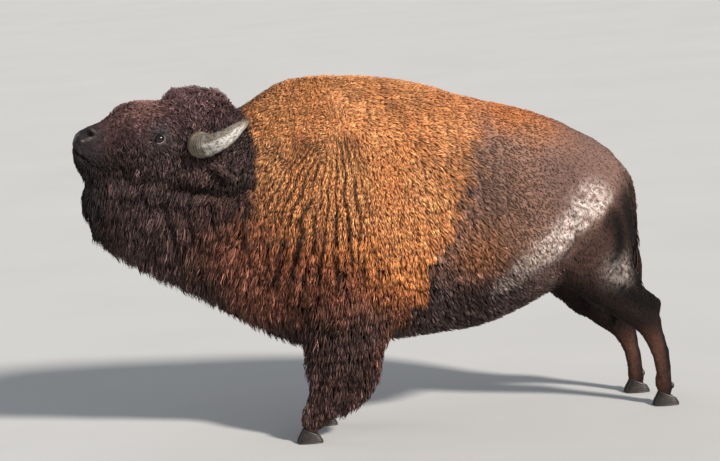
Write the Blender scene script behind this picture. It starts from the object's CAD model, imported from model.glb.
"""American bison bull, life size: the dressed visual model round its solids.

Metres, +Z up, in the row frame: the animal faces -X, its left side is towards -Y and it stands on
z = 0. One skin is melted from the flesh solids and drawn in by the depth of the coat. Eyes, lids,
horns, ears and claws are pieces of their own. The coat is solid locks of hair rooted on the skin.
"""
from __future__ import annotations

import logging
import math
from dataclasses import dataclass, field
from enum import Enum

import bmesh
import bpy
import numpy as np
from mathutils import Matrix, Vector
from mathutils.bvhtree import BVHTree


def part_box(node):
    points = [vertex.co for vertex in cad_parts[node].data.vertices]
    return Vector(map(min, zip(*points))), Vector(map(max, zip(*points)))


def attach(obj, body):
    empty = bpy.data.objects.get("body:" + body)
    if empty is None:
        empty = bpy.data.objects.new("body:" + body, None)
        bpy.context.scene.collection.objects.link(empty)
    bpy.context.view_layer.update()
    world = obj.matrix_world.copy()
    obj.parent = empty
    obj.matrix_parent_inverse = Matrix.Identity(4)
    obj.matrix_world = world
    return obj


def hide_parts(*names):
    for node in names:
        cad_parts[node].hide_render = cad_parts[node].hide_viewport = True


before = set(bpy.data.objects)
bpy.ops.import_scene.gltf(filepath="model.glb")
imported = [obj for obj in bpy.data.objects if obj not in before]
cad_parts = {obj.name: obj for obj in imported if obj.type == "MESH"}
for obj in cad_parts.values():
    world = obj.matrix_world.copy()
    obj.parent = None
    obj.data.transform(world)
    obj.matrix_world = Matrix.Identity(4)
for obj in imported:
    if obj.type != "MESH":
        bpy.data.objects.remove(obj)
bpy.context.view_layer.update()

logging.basicConfig(level=logging.INFO, format="%(message)s")
log = logging.getLogger("bison")

Array = np.ndarray
Socket = bpy.types.NodeSocket
Material = bpy.types.Material
Spot = tuple[float, float, float]
Bend = tuple[Spot, ...]

# ---------------- driving sizes
SKIN_VOXEL = 0.014            # grid on which the flesh solids are melted together
SKIN_SWELL = 0.0015           # closes the naming cuts before melting
BONE_SHARE = 0.45             # the skin is drawn in by at most this share of the way to the bone
EVENED = 6                    # how often the skin is evened out
PATCH = 0.003                 # width of one lock's patch on the bake map
LOCK_WIDE, LOCK_THICK = 1.15, 0.55  # a lock's cross-section, as shares of its half width
BRIGHTEST, DARKEST = 0.93, 0.002    # the limits of the markings' channels
OUTSIDE = 0.003               # how far a lock's tip may pass the solids' surface
STRAY = 0.009                 # how much further the few stray locks of the woolly parts may reach

EYE_RADIUS = 0.0265
BALL_ROWS, BALL_SIDES = 42, 64
RIM_ROWS, RIM_SIDES = 96, 12
EYE_SINK = 0.006              # the dressed eyeball sits this much deeper than its solid
LID_HALF_LENGTH = 0.024
LID_HALF_HEIGHT = 0.0238

FORE_STAGGER, FORE_STILL = 0.15, 0.8
HIND_STAGGER, HIND_STILL = -0.042, 1.7
HIND_CROUCH, CROUCH_TOP = 0.078, 1.12
LEG_SPREAD = 0.19
HOOF_TOP = 0.062
FOOT_X = {"fore": -0.4209, "hind": 1.3741}
WHORL = (-0.165, 0.24, 1.526)           # the hair of the cape parts round this place
SIDEWAYS = np.array([1.0, 0.4, 1.0])    # a line on the body is near a place mostly in side view
FROM_SIDE = np.array([1.0, 0.12, 1.0])  # and a cleft almost only in side view

SIDES = {"left": -1.0, "right": 1.0}
FLESH = ("muzzle", "head", "bonnet", "beard", "neck", "throat_mane", "hump", "brisket", "barrel",
         "rump", "tail", "tail_switch",
         *(f"{side}_{part}" for part in ("upper_foreleg", "lower_foreleg", "thigh", "gaskin", "hind_cannon")
           for side in SIDES))


def srgb(red: float, green: float, blue: float) -> Array:
    """Linear colour of a display colour."""
    value = np.array([red, green, blue], float) / 255.0
    return np.where(value <= 0.04045, value / 12.92, ((value + 0.055) / 1.055) ** 2.4)


class Tone(Enum):
    """The colours of hide and hair."""

    CAPE = (222, 146, 89)
    CAPE_LIGHT = (238, 168, 110)
    BACK = (188, 120, 74)
    SHOULDER = (172, 102, 67)
    CHEST = (146, 93, 74)
    HEAD = (51, 38, 38)
    FOREHEAD = (142, 105, 102)
    NAPE = (112, 90, 88)
    BONNET = (112, 86, 87)
    BEARD = (79, 61, 60)
    REAR = (112, 87, 79)
    FLANK = (140, 107, 93)
    REAR_DARK = (113, 88, 80)
    BELLY = (80, 64, 62)
    DUST = (210, 197, 190)
    LEG = (47, 31, 27)
    SHANK = (26, 16, 14)
    CANNON = (78, 52, 41)
    NOSE = (36, 31, 33)
    NOSE_EDGE = (100, 91, 89)
    EYE_PATCH = (66, 62, 66)

    @property
    def linear(self) -> Array:
        """The colour in linear light."""
        return srgb(*self.value)

    def over(self, colour: Array, share: Array) -> Array:
        """Colours mixed towards this tone by a share for each row."""
        return mixed(colour, self.linear, share)


# ---------------- numbers
def unit(vectors: Array) -> Array:
    """Vectors of length one."""
    return vectors / np.maximum(np.linalg.norm(vectors, axis=-1, keepdims=True), 1e-12)


def ramp(value: Array, low: float | Array, high: float | Array) -> Array:
    """Smooth step: nought at low, one at high, level at both ends."""
    share = np.clip((value - low) / (np.asarray(high) - low), 0.0, 1.0)
    return share * share * (3.0 - 2.0 * share)


def bell(value: Array, middle: float, width: float) -> Array:
    """A bell curve: one at the middle, and down to 0.37 a width away."""
    return np.exp(-(((value - middle) / width) ** 2))


def circle(count: int) -> Array:
    """Angles spread evenly round a circle."""
    return np.linspace(0.0, 2.0 * math.pi, count, endpoint=False)


def mixed(first: Array, second: Array, share: Array) -> Array:
    """Two colours, or a colour for each row, mixed by a share for each row."""
    share = np.clip(share, 0.0, 1.0)[:, None]
    return first * (1.0 - share) + second * share


def ripple(points: Array, size: float, seed: int, waves: int = 12) -> Array:
    """Smooth noise: the mean of sine waves of about one size that run in many directions.

    Args:
        points: places, one to a row.
        size: about one wavelength.
        seed: picks the waves.
        waves: how many are summed.

    Returns:
        One number to a place, mostly from -1 to 1.
    """
    rng = np.random.default_rng(seed)
    pull = rng.normal(size=(3, waves))
    pull *= 2.0 * math.pi / size * rng.uniform(0.6, 1.5, waves) / np.linalg.norm(pull, axis=0)
    return np.sin(points @ pull + rng.uniform(0.0, 2.0 * math.pi, waves)).mean(axis=1) * 2.2


def to_path(points: Array, path: Array) -> tuple[Array, Array]:
    """Distance to a bent line, and the share of its length at the nearest spot.

    Args:
        points: places, one to a row.
        path: the line's corners, one to a row.

    Returns:
        Distances, and shares of the length from 0 to 1.
    """
    path = np.asarray(path, float)
    near = np.full(len(points), np.inf)
    run = np.zeros(len(points))
    start = 0.0
    for corner, following in zip(path, path[1:]):
        edge = following - corner
        length = np.linalg.norm(edge)
        share = np.clip((points - corner) @ edge / length**2, 0.0, 1.0)
        away = np.linalg.norm(points - corner - share[:, None] * edge, axis=1)
        closer = away < near
        near = np.where(closer, away, near)
        run = np.where(closer, start + share * length, run)
        start += length
    return near, run / start


def smooth_rows(rows: tuple, count: int) -> Array:
    """Rows resampled evenly along their first three columns, through each row.

    Args:
        rows: the given rows, x, y, z and any sizes.
        count: rows wanted.

    Returns:
        The new rows: each span is a cubic whose slopes come from its neighbours.
    """
    table = np.array(rows, float)
    run = np.concatenate(([0.0], np.cumsum(np.linalg.norm(np.diff(table[:, :3], axis=0), axis=1))))
    slopes = np.gradient(table, run, axis=0)
    samples = np.linspace(0.0, run[-1], count)
    left = np.clip(np.searchsorted(run, samples, side="right") - 1, 0, len(run) - 2)
    width = (run[left + 1] - run[left])[:, None]
    t = (samples - run[left])[:, None] / width
    return ((2 * t**3 - 3 * t**2 + 1) * table[left] + (3 * t**2 - 2 * t**3) * table[left + 1]
            + (t**3 - 2 * t**2 + t) * width * slopes[left]
            + (t**3 - t**2) * width * slopes[left + 1])


def shift_of(height: Array, stagger: float, still: float) -> Array:
    """How far fore or aft a right leg stands at a height: all of it at the floor, none at still."""
    return stagger * np.clip(1.0 - height / still, 0.0, 1.0)


def folded(points: Array) -> Array:
    """Places of the right half laid on the left half, with its legs moved to the left's stance.

    Args:
        points: places, one to a row.

    Returns:
        Places whose second column is the distance from the middle plane.
    """
    x, y, z = points.T
    right = ramp(y, 0.0, 0.06)
    behind = ramp(x, 0.65, 0.95)
    lifted = z
    for _ in range(3):
        lifted = z + HIND_CROUCH * np.sin(math.pi * np.clip(lifted / CROUCH_TOP, 0.0, 1.0)) * behind
    fore = shift_of(z, FORE_STAGGER, FORE_STILL) * (1.0 - ramp(x, 0.15, 0.45))
    hind = shift_of(lifted, HIND_STAGGER, HIND_STILL) * behind
    return np.stack([x - right * (fore + hind), np.abs(y), z + right * (lifted - z)], axis=1)


# ---------------- markings
CAPE_FRONT = ((1.0, 1.157, 1.225, 1.294, 1.463, 1.6, 1.7),
              (-0.74, -0.66, -0.615, -0.6, -0.595, -0.585, -0.55))
CAPE_BACK = ((0.45, 0.586, 0.688, 0.888, 0.953, 1.073, 1.218, 1.375, 1.5),
             (0.0, 0.075, 0.175, 0.245, 0.285, 0.365, 0.43, 0.46, 0.52))
CAPE_LOW = ((-0.9, -0.66, -0.43, -0.2, 0.0, 0.2), (1.13, 1.04, 0.9, 0.8, 0.65, 0.54))
BACK_LINE = ((0.0, 0.53, 0.73, 0.89, 1.05, 1.18), (1.78, 1.6, 1.545, 1.48, 1.395, 1.305))
DUST_PATH = ((1.068, 0.25, 1.056), (1.011, 0.26, 1.019), (0.962, 0.27, 0.955), (0.89, 0.27, 0.898),
             (0.802, 0.28, 0.855), (0.7, 0.28, 0.785), (0.6, 0.29, 0.715), (0.515, 0.29, 0.66))
GROIN_PATH = ((0.86, 0.26, 0.79), (0.734, 0.28, 0.712), (0.619, 0.28, 0.627), (0.473, 0.28, 0.556))
THIGH_TOP = ((0.84, 0.888, 0.946, 1.078, 1.159, 1.237, 1.3),
             (0.64, 0.771, 0.899, 0.985, 1.077, 1.119, 1.12))


@dataclass(frozen=True)
class Line:
    """A bent line on both sides of the body, with its half width and its depth."""

    path: Bend
    width: float
    depth: float

    def close(self, near: Array, flat: Array) -> tuple[Array, Array]:
        """How close each folded place is to the line: a bell curve of the distance."""
        away, run = to_path(near * flat, np.array(self.path) * flat)
        return bell(away, 0.0, self.width), run


@dataclass(frozen=True)
class Cleft(Line):
    """A dark cleft between masses of hair."""

    def at(self, near: Array) -> Array:
        """How deep in the cleft each folded place lies, fading at the line's ends."""
        share, run = self.close(near, FROM_SIDE)
        return share * np.sin(math.pi * (0.12 + 0.76 * run)) ** 0.5


STREAKS = (
    Cleft(((1.222, 0.16, 1.06), (1.245, 0.16, 0.96), (1.258, 0.18, 0.86), (1.272, 0.18, 0.75),
           (1.262, 0.18, 0.64)), 0.05, 0.0),
    Cleft(((1.15, 0.2, 0.98), (1.172, 0.22, 0.9), (1.17, 0.22, 0.82), (1.143, 0.22, 0.77),
           (1.15, 0.22, 0.7)), 0.038, 0.0),
    Cleft(((1.13, 0.22, 0.62), (1.22, 0.21, 0.57), (1.3, 0.2, 0.52), (1.345, 0.2, 0.5)), 0.034, 0.0),
    Cleft(((1.395, 0.19, 0.5), (1.372, 0.2, 0.43), (1.385, 0.2, 0.33), (1.4, 0.2, 0.2)), 0.016, 0.0),
)
CLEFTS = (
    Cleft(((-0.99, 0.16, 1.3), (-0.9, 0.19, 1.285), (-0.82, 0.22, 1.27), (-0.72, 0.26, 1.262),
           (-0.63, 0.29, 1.285)), 0.02, 0.034),
    Cleft(((-0.7, 0.27, 1.255), (-0.66, 0.29, 1.17), (-0.68, 0.28, 1.05), (-0.66, 0.27, 0.92)),
          0.012, 0.016),
    Cleft(((-0.9, 0.2, 1.27), (-0.93, 0.19, 1.15), (-0.91, 0.19, 1.02)), 0.012, 0.016),
    Cleft(((-1.245, 0.1, 1.225), (-1.18, 0.13, 1.245), (-1.12, 0.15, 1.27)), 0.009, 0.014),
    Cleft(((-1.1, 0.15, 1.2), (-1.03, 0.16, 1.225), (-0.98, 0.165, 1.25)), 0.009, 0.014),
    Cleft(((-1.2, 0.11, 1.15), (-1.14, 0.14, 1.06), (-1.09, 0.14, 0.97)), 0.012, 0.018),
    Cleft(((-1.02, 0.16, 1.16), (-1.0, 0.17, 1.04), (-0.98, 0.16, 0.92)), 0.013, 0.018),
    Cleft(((0.935, 0.28, 1.02), (0.952, 0.28, 0.95), (0.948, 0.27, 0.888), (0.881, 0.25, 0.776),
           (0.85, 0.2, 0.7)), 0.007, 0.004),
    *STREAKS,
)
PARTING_FIRST, PARTING_STEP = 0.03, 0.085


def partings(near: Array) -> Array:
    """How far each folded place lies in one of the dark partings of the cape.

    The partings run down and forward from the whorl as curves x = whorl - c * drop ** 0.55, a fixed
    step of c apart. They waver, come and go, and die out at the rim of their field.

    Args:
        near: folded places.

    Returns:
        Shares from 0 to 1.
    """
    x, y, z = near.T
    drop = np.maximum(WHORL[2] - z, 0.03)
    c = (WHORL[0] - x) / drop**0.55
    phase = (c - PARTING_FIRST) / PARTING_STEP
    phase = phase + 0.3 * ripple(near, 0.22, 61) + 0.07 * ripple(near, 0.05, 62)
    gap = np.abs(phase - np.round(phase)) * PARTING_STEP * drop**0.55
    wide = 0.0068 + 0.0048 * (1.0 - ramp(z, 0.95, 1.3))
    line = np.exp(-((gap / wide) ** 4)) * ramp(ripple(near, 0.16, 63), -0.8, -0.2)
    within = ramp(x, -0.64, -0.52) * (1.0 - ramp(x, -0.16, 0.02)) * ramp(z, 0.66, 0.8)
    return line * within * (1.0 - ramp(z, 1.42, 1.52)) * ramp(y, 0.08, 0.16)


def gloom(near: Array) -> Array:
    """How dark the gaps of the coat are at each folded place, from partings and clefts together."""
    return np.max([partings(near)] + [cleft.at(near) for cleft in CLEFTS], axis=0)


@dataclass
class Pelt:
    """The colours of hide and hair at many places, by formulas in the body's own measures.

    The tones meet along ramps that waver with a slow noise, and bell curves lighten or darken
    single spots. The right half repeats the left.
    """

    points: Array

    def __post_init__(self) -> None:
        """Fold the places and work out the noise that the markings share."""
        self.near = folded(self.points)
        self.warp = 0.035 * ripple(self.points, 0.25, 11) + 0.012 * ripple(self.points, 0.07, 12)
        self.fine = ripple(self.points, 0.045, 13)

    def bell(self, x: float, z: float, reach: float) -> Array:
        """A bell curve of each place's distance from x and z in side view."""
        return np.exp(-((self.near[:, 0] - x) ** 2 + (self.near[:, 2] - z) ** 2) / (2 * reach**2))

    def rear(self) -> Array:
        """Back, flank, belly, rump, tail and hind legs.

        Returns:
            Linear colours, one to a row.
        """
        (x, y, z), warp, fine = self.near.T, self.warp, self.fine
        colour = mixed(Tone.REAR_DARK.linear, Tone.REAR.linear, ramp(z + warp, 0.72, 1.12) - 0.15 * fine)
        colour = Tone.FLANK.over(colour, (1.0 - ramp(x + warp, 0.66, 0.96)) * ramp(z, 0.7, 0.92))
        warm = ramp(z + warp - np.interp(x, *BACK_LINE), -0.24, -0.04) * (1.0 - ramp(x, 0.72, 1.08))
        colour = Tone.BACK.over(colour, 0.9 * warm)
        for spot, deep in ((self.bell(0.75, 1.07, 0.15), 0.28), (self.bell(0.93, 1.24, 0.14), 0.18)):
            colour = colour * (1.0 - deep * spot - 0.1 * spot * fine)[:, None]
        colour = Tone.BACK.over(colour, 0.6 * self.bell(0.44, 0.9, 0.1))
        away, _ = to_path(self.near, GROIN_PATH)
        colour = Tone.BELLY.over(colour, 0.85 * (1.0 - ramp(away + 0.5 * warp, 0.015, 0.075)))
        colour = Tone.BELLY.over(colour, 1.0 - ramp(z + warp + 0.1 * x, 0.68, 0.88))

        above = z + 0.8 * warp + 0.02 * fine - np.interp(x, *THIGH_TOP)
        leg = ramp(x, 0.84, 0.9) * (1.0 - ramp(above, -0.09, 0.05))
        colour = Tone.LEG.over(colour, leg * (0.86 - 0.1 * fine))
        colour = colour * (1.0 - 0.38 * self.bell(1.15, 0.94, 0.08) * leg)[:, None]
        colour = Tone.SHANK.over(colour, leg * (1.0 - ramp(z + 0.5 * warp, 0.56, 0.77)))
        brown = 0.85 - 0.8 * ramp(x - 0.05 * z, 1.33, 1.39) - 0.12 * fine
        colour = Tone.CANNON.over(colour, leg * (1.0 - ramp(z, 0.28, 0.44)) * brown)
        streak = np.max([cleft.at(self.near) for cleft in STREAKS], axis=0)
        tail = ramp(x, 1.2, 1.27) * (1.0 - ramp(y, 0.06, 0.11)) * (1.0 - ramp(z, 1.05, 1.2))
        return Tone.LEG.over(colour * (1.0 - 0.6 * streak)[:, None], 0.8 * tail)

    def cape(self) -> tuple[Array, Array]:
        """Cape, shoulder, chest and forelegs.

        Returns:
            Linear colours, one to a row, and how far each place belongs to them.
        """
        (x, _, z), warp, fine = self.near.T, self.warp, self.fine
        low = np.interp(x, *CAPE_LOW) + warp
        colour = mixed(Tone.SHOULDER.linear, Tone.CAPE.linear, ramp(z, low, low + 0.3))
        colour = Tone.CHEST.over(colour, 1.0 - ramp(z, low - 0.08, low + 0.12))
        colour = Tone.BEARD.over(colour, 0.9 - 0.9 * ramp(z + warp, 0.55, 0.78))
        last_ribs = self.bell(0.19, 0.88, 0.14)
        pale = ramp(z, low + 0.2, low + 0.4) * (1.0 - 0.2 * ramp(z, 1.42, 1.62)) * (1.0 - 0.8 * last_ribs)
        colour = Tone.CAPE_LIGHT.over(colour, pale * ramp(fine + ripple(self.points, 0.3, 14), -1.2, 1.0))
        colour = Tone.CAPE.over(colour, 0.75 * last_ribs)
        light = 1.0 + 0.48 * self.bell(-0.1, 1.26, 0.17) + 0.65 * last_ribs
        light = light - 0.45 * self.bell(-0.33, 0.6, 0.09) - 0.16 * ramp(z, 1.45, 1.65)
        light = light - 0.2 * ramp(ripple(self.points, 0.11, 18), 0.1, 1.0)
        colour = colour * light[:, None]

        tongue = ripple(self.near * np.array([1.0, 1.0, 0.5]), 0.055, 19)
        soft = 0.02 + 0.06 * ramp(z, 1.12, 1.35)
        before = np.interp(z, *CAPE_BACK) - x + warp
        fringe = 1.0 - ramp(before - 0.04 * tongue, 0.02, 0.16)
        colour = Tone.SHOULDER.over(colour, 0.42 * fringe * ramp(tongue + fine, -0.6, 0.8))
        return colour, ramp(before + (0.045 + 0.4 * soft) * tongue, -1.2 * soft, 1.6 * soft)

    def head(self) -> tuple[Array, Array]:
        """Head, beard, bonnet and nape, and the dark ridge of the neck.

        Returns:
            Linear colours, one to a row, and how far each place belongs to them.
        """
        (x, y, z), warp, fine = self.near.T, self.warp, self.fine
        front = 0.95 * self.bell(-1.08, 1.7, 0.105)
        colour = mixed(Tone.HEAD.linear, Tone.FOREHEAD.linear, front - 0.12 * fine)
        colour = Tone.BEARD.over(colour, 1.0 - ramp(z + 0.5 * warp, 1.15, 1.36))
        colour = Tone.NAPE.over(colour, 0.75 * self.bell(-0.85, 1.42, 0.12))
        crown = ramp(z, 1.52, 1.72) * (1.0 - ramp(x, -0.66, -0.56)) * ramp(x, -1.05, -0.95)
        colour = Tone.BONNET.over(colour, crown)
        colour = Tone.SHOULDER.over(colour, 0.28 * self.bell(-0.75, 1.02, 0.12))
        colour = Tone.EYE_PATCH.over(colour, 0.9 * self.bell(-1.035, 1.56, 0.056) * ramp(y, 0.08, 0.13))
        colour = Tone.NOSE.over(colour, 1.0 - ramp(x, -1.36, -1.26))
        edge = np.max([rim.share(self.near) for rim in NOSTRIL_RIMS], axis=0)
        edge = edge * ramp(fine + ripple(self.points, 0.012, 17), -1.2, 0.9)
        colour = Tone.NOSE_EDGE.over(colour, 0.85 * edge)
        soft = 0.02 + 0.07 * (1.0 - ramp(z, 1.2, 1.32))
        share = ramp(np.interp(z, *CAPE_FRONT) - x + 0.5 * warp, -1.3 * soft, soft) * ramp(z, 0.6, 0.75)
        ridge = (1.0 - ramp(y, 0.02, 0.07)) * (1.0 - ramp(x, -0.46, -0.36)) * ramp(z, 1.4, 1.5) * 0.7
        return colour, np.maximum(share, 0.8 * ridge)

    def dusted(self, colour: Array) -> Array:
        """Colours with pale dust along the flank and a shine over the hock, fainter on the right.

        Args:
            colour: the colours under the dust.

        Returns:
            The dusted colours.
        """
        away, run = to_path(self.near, DUST_PATH)
        spread = np.interp(run, (0.0, 0.2, 0.35, 0.6, 1.0), (0.105, 0.104, 0.098, 0.078, 0.042))
        speck = 0.55 + 0.75 * ripple(self.points, 0.03, 15) + 0.85 * ripple(self.points, 0.012, 16)
        dust = (1.0 - ramp(away + 0.6 * self.warp, 0.2 * spread, 1.3 * spread)) * np.clip(speck, 0.0, 1.0)
        above = self.near[:, 2] + 0.3 * self.warp - np.interp(self.near[:, 0], *THIGH_TOP)
        dust = dust * ramp(above, -0.02, 0.02)
        side = np.where(self.points[:, 1] < 0.0, 1.0, 0.35)
        side = side * np.interp(run, (0.0, 0.5, 1.0), (0.88, 0.82, 0.48))
        colour = Tone.DUST.over(colour, dust * side)
        return Tone.DUST.over(colour, 0.6 * self.bell(1.16, 0.705, 0.048) * ramp(speck, -0.3, 1.2))


def markings(points: Array) -> Array:
    """Colour of the animal at each place, the same for skin and hair.

    Args:
        points: places, one to a row.

    Returns:
        Linear colours, one to a row; a colour that is too bright keeps its hue.
    """
    pelt = Pelt(points)
    colour = pelt.rear()
    for part, share in (pelt.cape(), pelt.head()):
        colour = mixed(colour, part, share)
    colour = pelt.dusted(colour)
    return np.maximum(colour / np.maximum(1.0, colour.max(axis=1, keepdims=True) / BRIGHTEST), DARKEST)


# ---------------- how the coat grows
@dataclass(frozen=True)
class Guide:
    """How the coat grows round one named place.

    place is x, distance from the middle plane, z. lie is the way the hair points, its second
    number away from the middle plane. Lengths are in metres, density in locks to a square metre.
    """

    place: Spot
    lie: Spot
    length: float
    depth: float
    width: float
    density: float
    curl: float = 0.1
    droop: float = 0.2
    clump: float = 0.4
    reach: float = 0.16
    pull: float = 1.0


# place, lie, length, depth, width, density, curl, droop, clump, reach, pull
GUIDES = {name: Guide(*row) for name, row in {
    "crest_front": ((-.52, .05, 1.62), (-.8, .3, -.5), .034, .03, .0046, 22500, .22, .1, .5),
    "crest_top": ((-.12, .03, 1.77), (.7, .4, -.1), .034, .026, .0046, 22500, .2, .1, .5),
    "crest_back": ((.3, .05, 1.68), (1.0, .15, -.1), .034, .024, .0046, 22500, .16, .1, .5),
    "crest_rear": ((.68, .05, 1.53), (1.0, .1, -.2), .028, .015, .0046, 17000, .1, .1, .4),
    "shoulder_front": ((-.48, .3, 1.3), (-.55, .0, -.85), .038, .031, .0047, 22000, .2, .2, .55),
    "shoulder": ((-.2, .36, 1.15), (-.3, .0, -1.0), .038, .03, .0047, 22000, .2, .2, .55),
    "ribs": ((.1, .36, 1.1), (.3, .0, -1.0), .038, .028, .0047, 22000, .2, .2, .6),
    "last_ribs": ((.38, .34, 1.15), (.65, .0, -.75), .056, .03, .005, 20000, .13, .2, .85),
    "last_ribs_low": ((.22, .34, .92), (.45, .0, -.9), .058, .032, .0052, 19000, .13, .3, .85),
    "shoulder_low": ((-.2, .33, .86), (-.28, .0, -1.0), .085, .045, .0062, 14000, .18, .5, .85),
    "chest": ((-.62, .25, .98), (-.4, .0, -1.0), .105, .055, .0064, 12500, .16, .6, .85),
    "throat": ((-.82, .15, .95), (-.35, .0, -1.0), .14, .06, .0066, 11500, .14, .7, .85),
    "brisket": ((-.42, .18, .52), (-.15, .0, -1.0), .12, .055, .0072, 10500, .16, .7, .85),
    "elbow": ((-.15, .3, .62), (-.18, .0, -1.0), .1, .05, .0068, 11000, .2, .5, .85),
    "side_low": ((.15, .34, .78), (.15, .0, -1.0), .066, .036, .0064, 13000, .17, .3, .8),
    "belly_side": ((.45, .29, .6), (.6, .0, -.8), .045, .024, .0058, 9500, .12, .3, .6),
    "belly": ((.35, .05, .43), (.7, .0, -.6), .05, .028, .0068, 8000, .12, .3, .5),
    "belly_back": ((.8, .12, .62), (.85, .0, -.4), .026, .012, .0048, 8500, .06, .1, .4),
    "flank": ((.62, .33, 1.05), (.8, .0, -.6), .026, .011, .0042, 10500, .07, .1, .65),
    "loin": ((.62, .2, 1.42), (.95, .15, -.35), .026, .012, .0042, 10500, .08, .1, .6),
    "hip": ((.95, .22, 1.2), (.75, .0, -.7), .015, .006, .0036, 6500, .03, .1, .35),
    "rump": ((1.08, .08, 1.36), (.9, .2, -.5), .016, .006, .0036, 6500, .03, .1, .35),
    "buttock": ((1.24, .1, 1.05), (.25, .2, -1.0), .018, .007, .0038, 6500, .03, .1, .35),
    "thigh": ((1.08, .25, .88), (.45, .0, -.9), .016, .006, .0036, 6500, .03, .1, .35),
    "stifle": ((1.0, .2, .7), (.35, .0, -.9), .016, .006, .0036, 6500, .03, .1, .35),
    "gaskin": ((1.19, .2, .55), (.6, .0, -.8), .013, .0045, .0034, 8000, .03, .1, .4, .1),
    "hock": ((1.3, .2, .43), (.3, .0, -1.0), .012, .004, .0034, 8000, .03, .1, .4, .09),
    "cannon": ((1.36, .2, .25), (.05, .0, -1.0), .012, .004, .0034, 8000, .03, .1, .4, .1),
    "hind_fetlock": ((1.38, .2, .08), (.15, .0, -1.0), .03, .0035, .0036, 15000, .06, .2, .5, .05),
    "forearm": ((-.2, .27, .46), (-.08, .0, -1.0), .115, .05, .0072, 10500, .18, .6, .85, .12),
    "knee": ((-.27, .25, .28), (-.12, .0, -1.0), .1, .044, .0068, 11000, .15, .7, .85, .09),
    "fore_cannon": ((-.36, .2, .16), (-.1, .0, -1.0), .07, .026, .0056, 13000, .1, .5, .6, .06),
    "fore_fetlock": ((-.41, .2, .07), (-.1, .0, -1.0), .034, .004, .004, 15000, .06, .2, .5, .04),
    "nose": ((-1.435, .02, 1.55), (.8, .1, .1), .005, .002, .0018, 2, .0, .0, .2, .028, 1.0),
    "lip": ((-1.37, .08, 1.5), (.85, .1, -.4), .012, .004, .0026, 26000, .06, .1, .4, .045),
    "chin": ((-1.37, .05, 1.37), (-.45, .0, -.9), .056, .022, .0038, 16000, .16, .2, .8, .045),
    "bridge": ((-1.3, .05, 1.62), (1.0, .1, .1), .012, .004, .0026, 14000, .06, .1, .4, .05),
    "nose_top": ((-1.2, .06, 1.67), (.9, .2, .3), .028, .016, .0036, 22000, .26, .1, .5, .06),
    "forehead": ((-1.1, .06, 1.72), (.75, .2, .6), .046, .032, .004, 24000, .36, .2, .5, .08),
    "brow": ((-1.03, .13, 1.66), (.7, .5, .4), .036, .022, .0038, 23000, .32, .2, .5, .06),
    "eye": ((-1.035, .165, 1.545), (.9, .1, -.25), .014, .005, .0026, 30000, .1, .1, .5, .046, 5.0),
    "cheek_front": ((-1.26, .09, 1.45), (.45, .1, -.9), .018, .008, .003, 20000, .12, .1, .4, .06),
    "cheek": ((-1.12, .15, 1.42), (-.05, .1, -1.0), .044, .028, .0042, 20500, .32, .3, .5, .08),
    "jaw": ((-1.12, .15, 1.3), (-.25, .1, -1.0), .085, .046, .0052, 16000, .24, .5, .7, .08),
    "temple": ((-.93, .19, 1.6), (.25, .5, -.3), .044, .034, .0042, 21000, .34, .2, .5, .08),
    "behind_eye": ((-.95, .2, 1.42), (-.15, .2, -1.0), .054, .038, .0046, 19000, .32, .4, .5, .09),
    "bonnet": ((-.86, .05, 1.83), (-.25, .2, 1.0), .085, .056, .0044, 27000, .36, .4, .5, .09),
    "bonnet_side": ((-.86, .18, 1.76), (-.1, 1.0, .2), .075, .05, .0044, 26000, .36, .5, .5, .08),
    "poll": ((-.68, .1, 1.73), (.5, .4, .3), .066, .046, .0046, 22000, .34, .5, .5, .09),
    "neck_side": ((-.74, .23, 1.4), (.1, .2, -1.0), .074, .048, .0052, 17500, .28, .5, .7, .11),
    "beard_top": ((-1.22, .1, 1.26), (-.15, .1, -1.0), .13, .058, .0062, 14500, .18, .6, .8, .09),
    "beard": ((-1.12, .12, 1.05), (-.12, .0, -1.0), .165, .062, .0066, 13500, .16, .8, .85, .12),
    "beard_front": ((-1.39, .03, 1.24), (-.3, .0, -1.0), .115, .045, .0056, 17000, .17, .6, .8, .07),
    "beard_back": ((-.96, .16, .98), (-.15, .0, -1.0), .145, .062, .0066, 13000, .16, .7, .85, .13),
    "tail": ((1.33, .0, .98), (.05, .0, -1.0), .03, .007, .0045, 8500, .05, .3, .5, .08),
    "switch": ((1.32, .0, .66), (.0, .0, -1.0), .17, .022, .006, 19000, .08, .6, .7, .1, 3.0),
}.items()}

BONES = (
    ((-0.95, 0, 1.15), (-0.5, 0, 1.12), (0.0, 0, 1.1), (0.5, 0, 1.02), (0.95, 0, 1.0), (1.15, 0, 0.98)),
    ((-0.35, 0, 1.45), (0.2, 0, 1.45), (0.75, 0, 1.22)),
    ((-1.39, 0, 1.49), (-1.2, 0, 1.47), (-0.9, 0, 1.45), (-0.62, 0, 1.38)),
    ((-1.37, 0, 1.27), (-1.2, 0, 1.18), (-1.0, 0, 1.08), (-0.85, 0, 1.0)),
    ((-0.94, 0, 1.68), (-0.7, 0, 1.68)),
    ((-0.93, 0, 1.1), (-0.6, 0, 0.9), (-0.35, 0, 0.75)),
    ((-0.17, 0.205, 0.86), (-0.22, 0.2, 0.46), (-0.28, 0.194, 0.27), (-0.339, 0.192, 0.19),
     (-0.396, 0.19, 0.12), (-0.416, 0.19, 0.05)),
    ((1.029, 0.125, 1.12), (1.069, 0.17, 0.76), (1.124, 0.18, 0.645), (1.204, 0.187, 0.56),
     (1.274, 0.19, 0.475), (1.316, 0.19, 0.395), (1.344, 0.19, 0.32), (1.366, 0.19, 0.22),
     (1.375, 0.19, 0.13), (1.376, 0.19, 0.05)),
    ((1.22, 0, 1.19), (1.28, 0, 1.13), (1.315, 0, 1.03), (1.322, 0, 0.9), (1.318, 0, 0.75),
     (1.3, 0, 0.5)),
)


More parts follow.
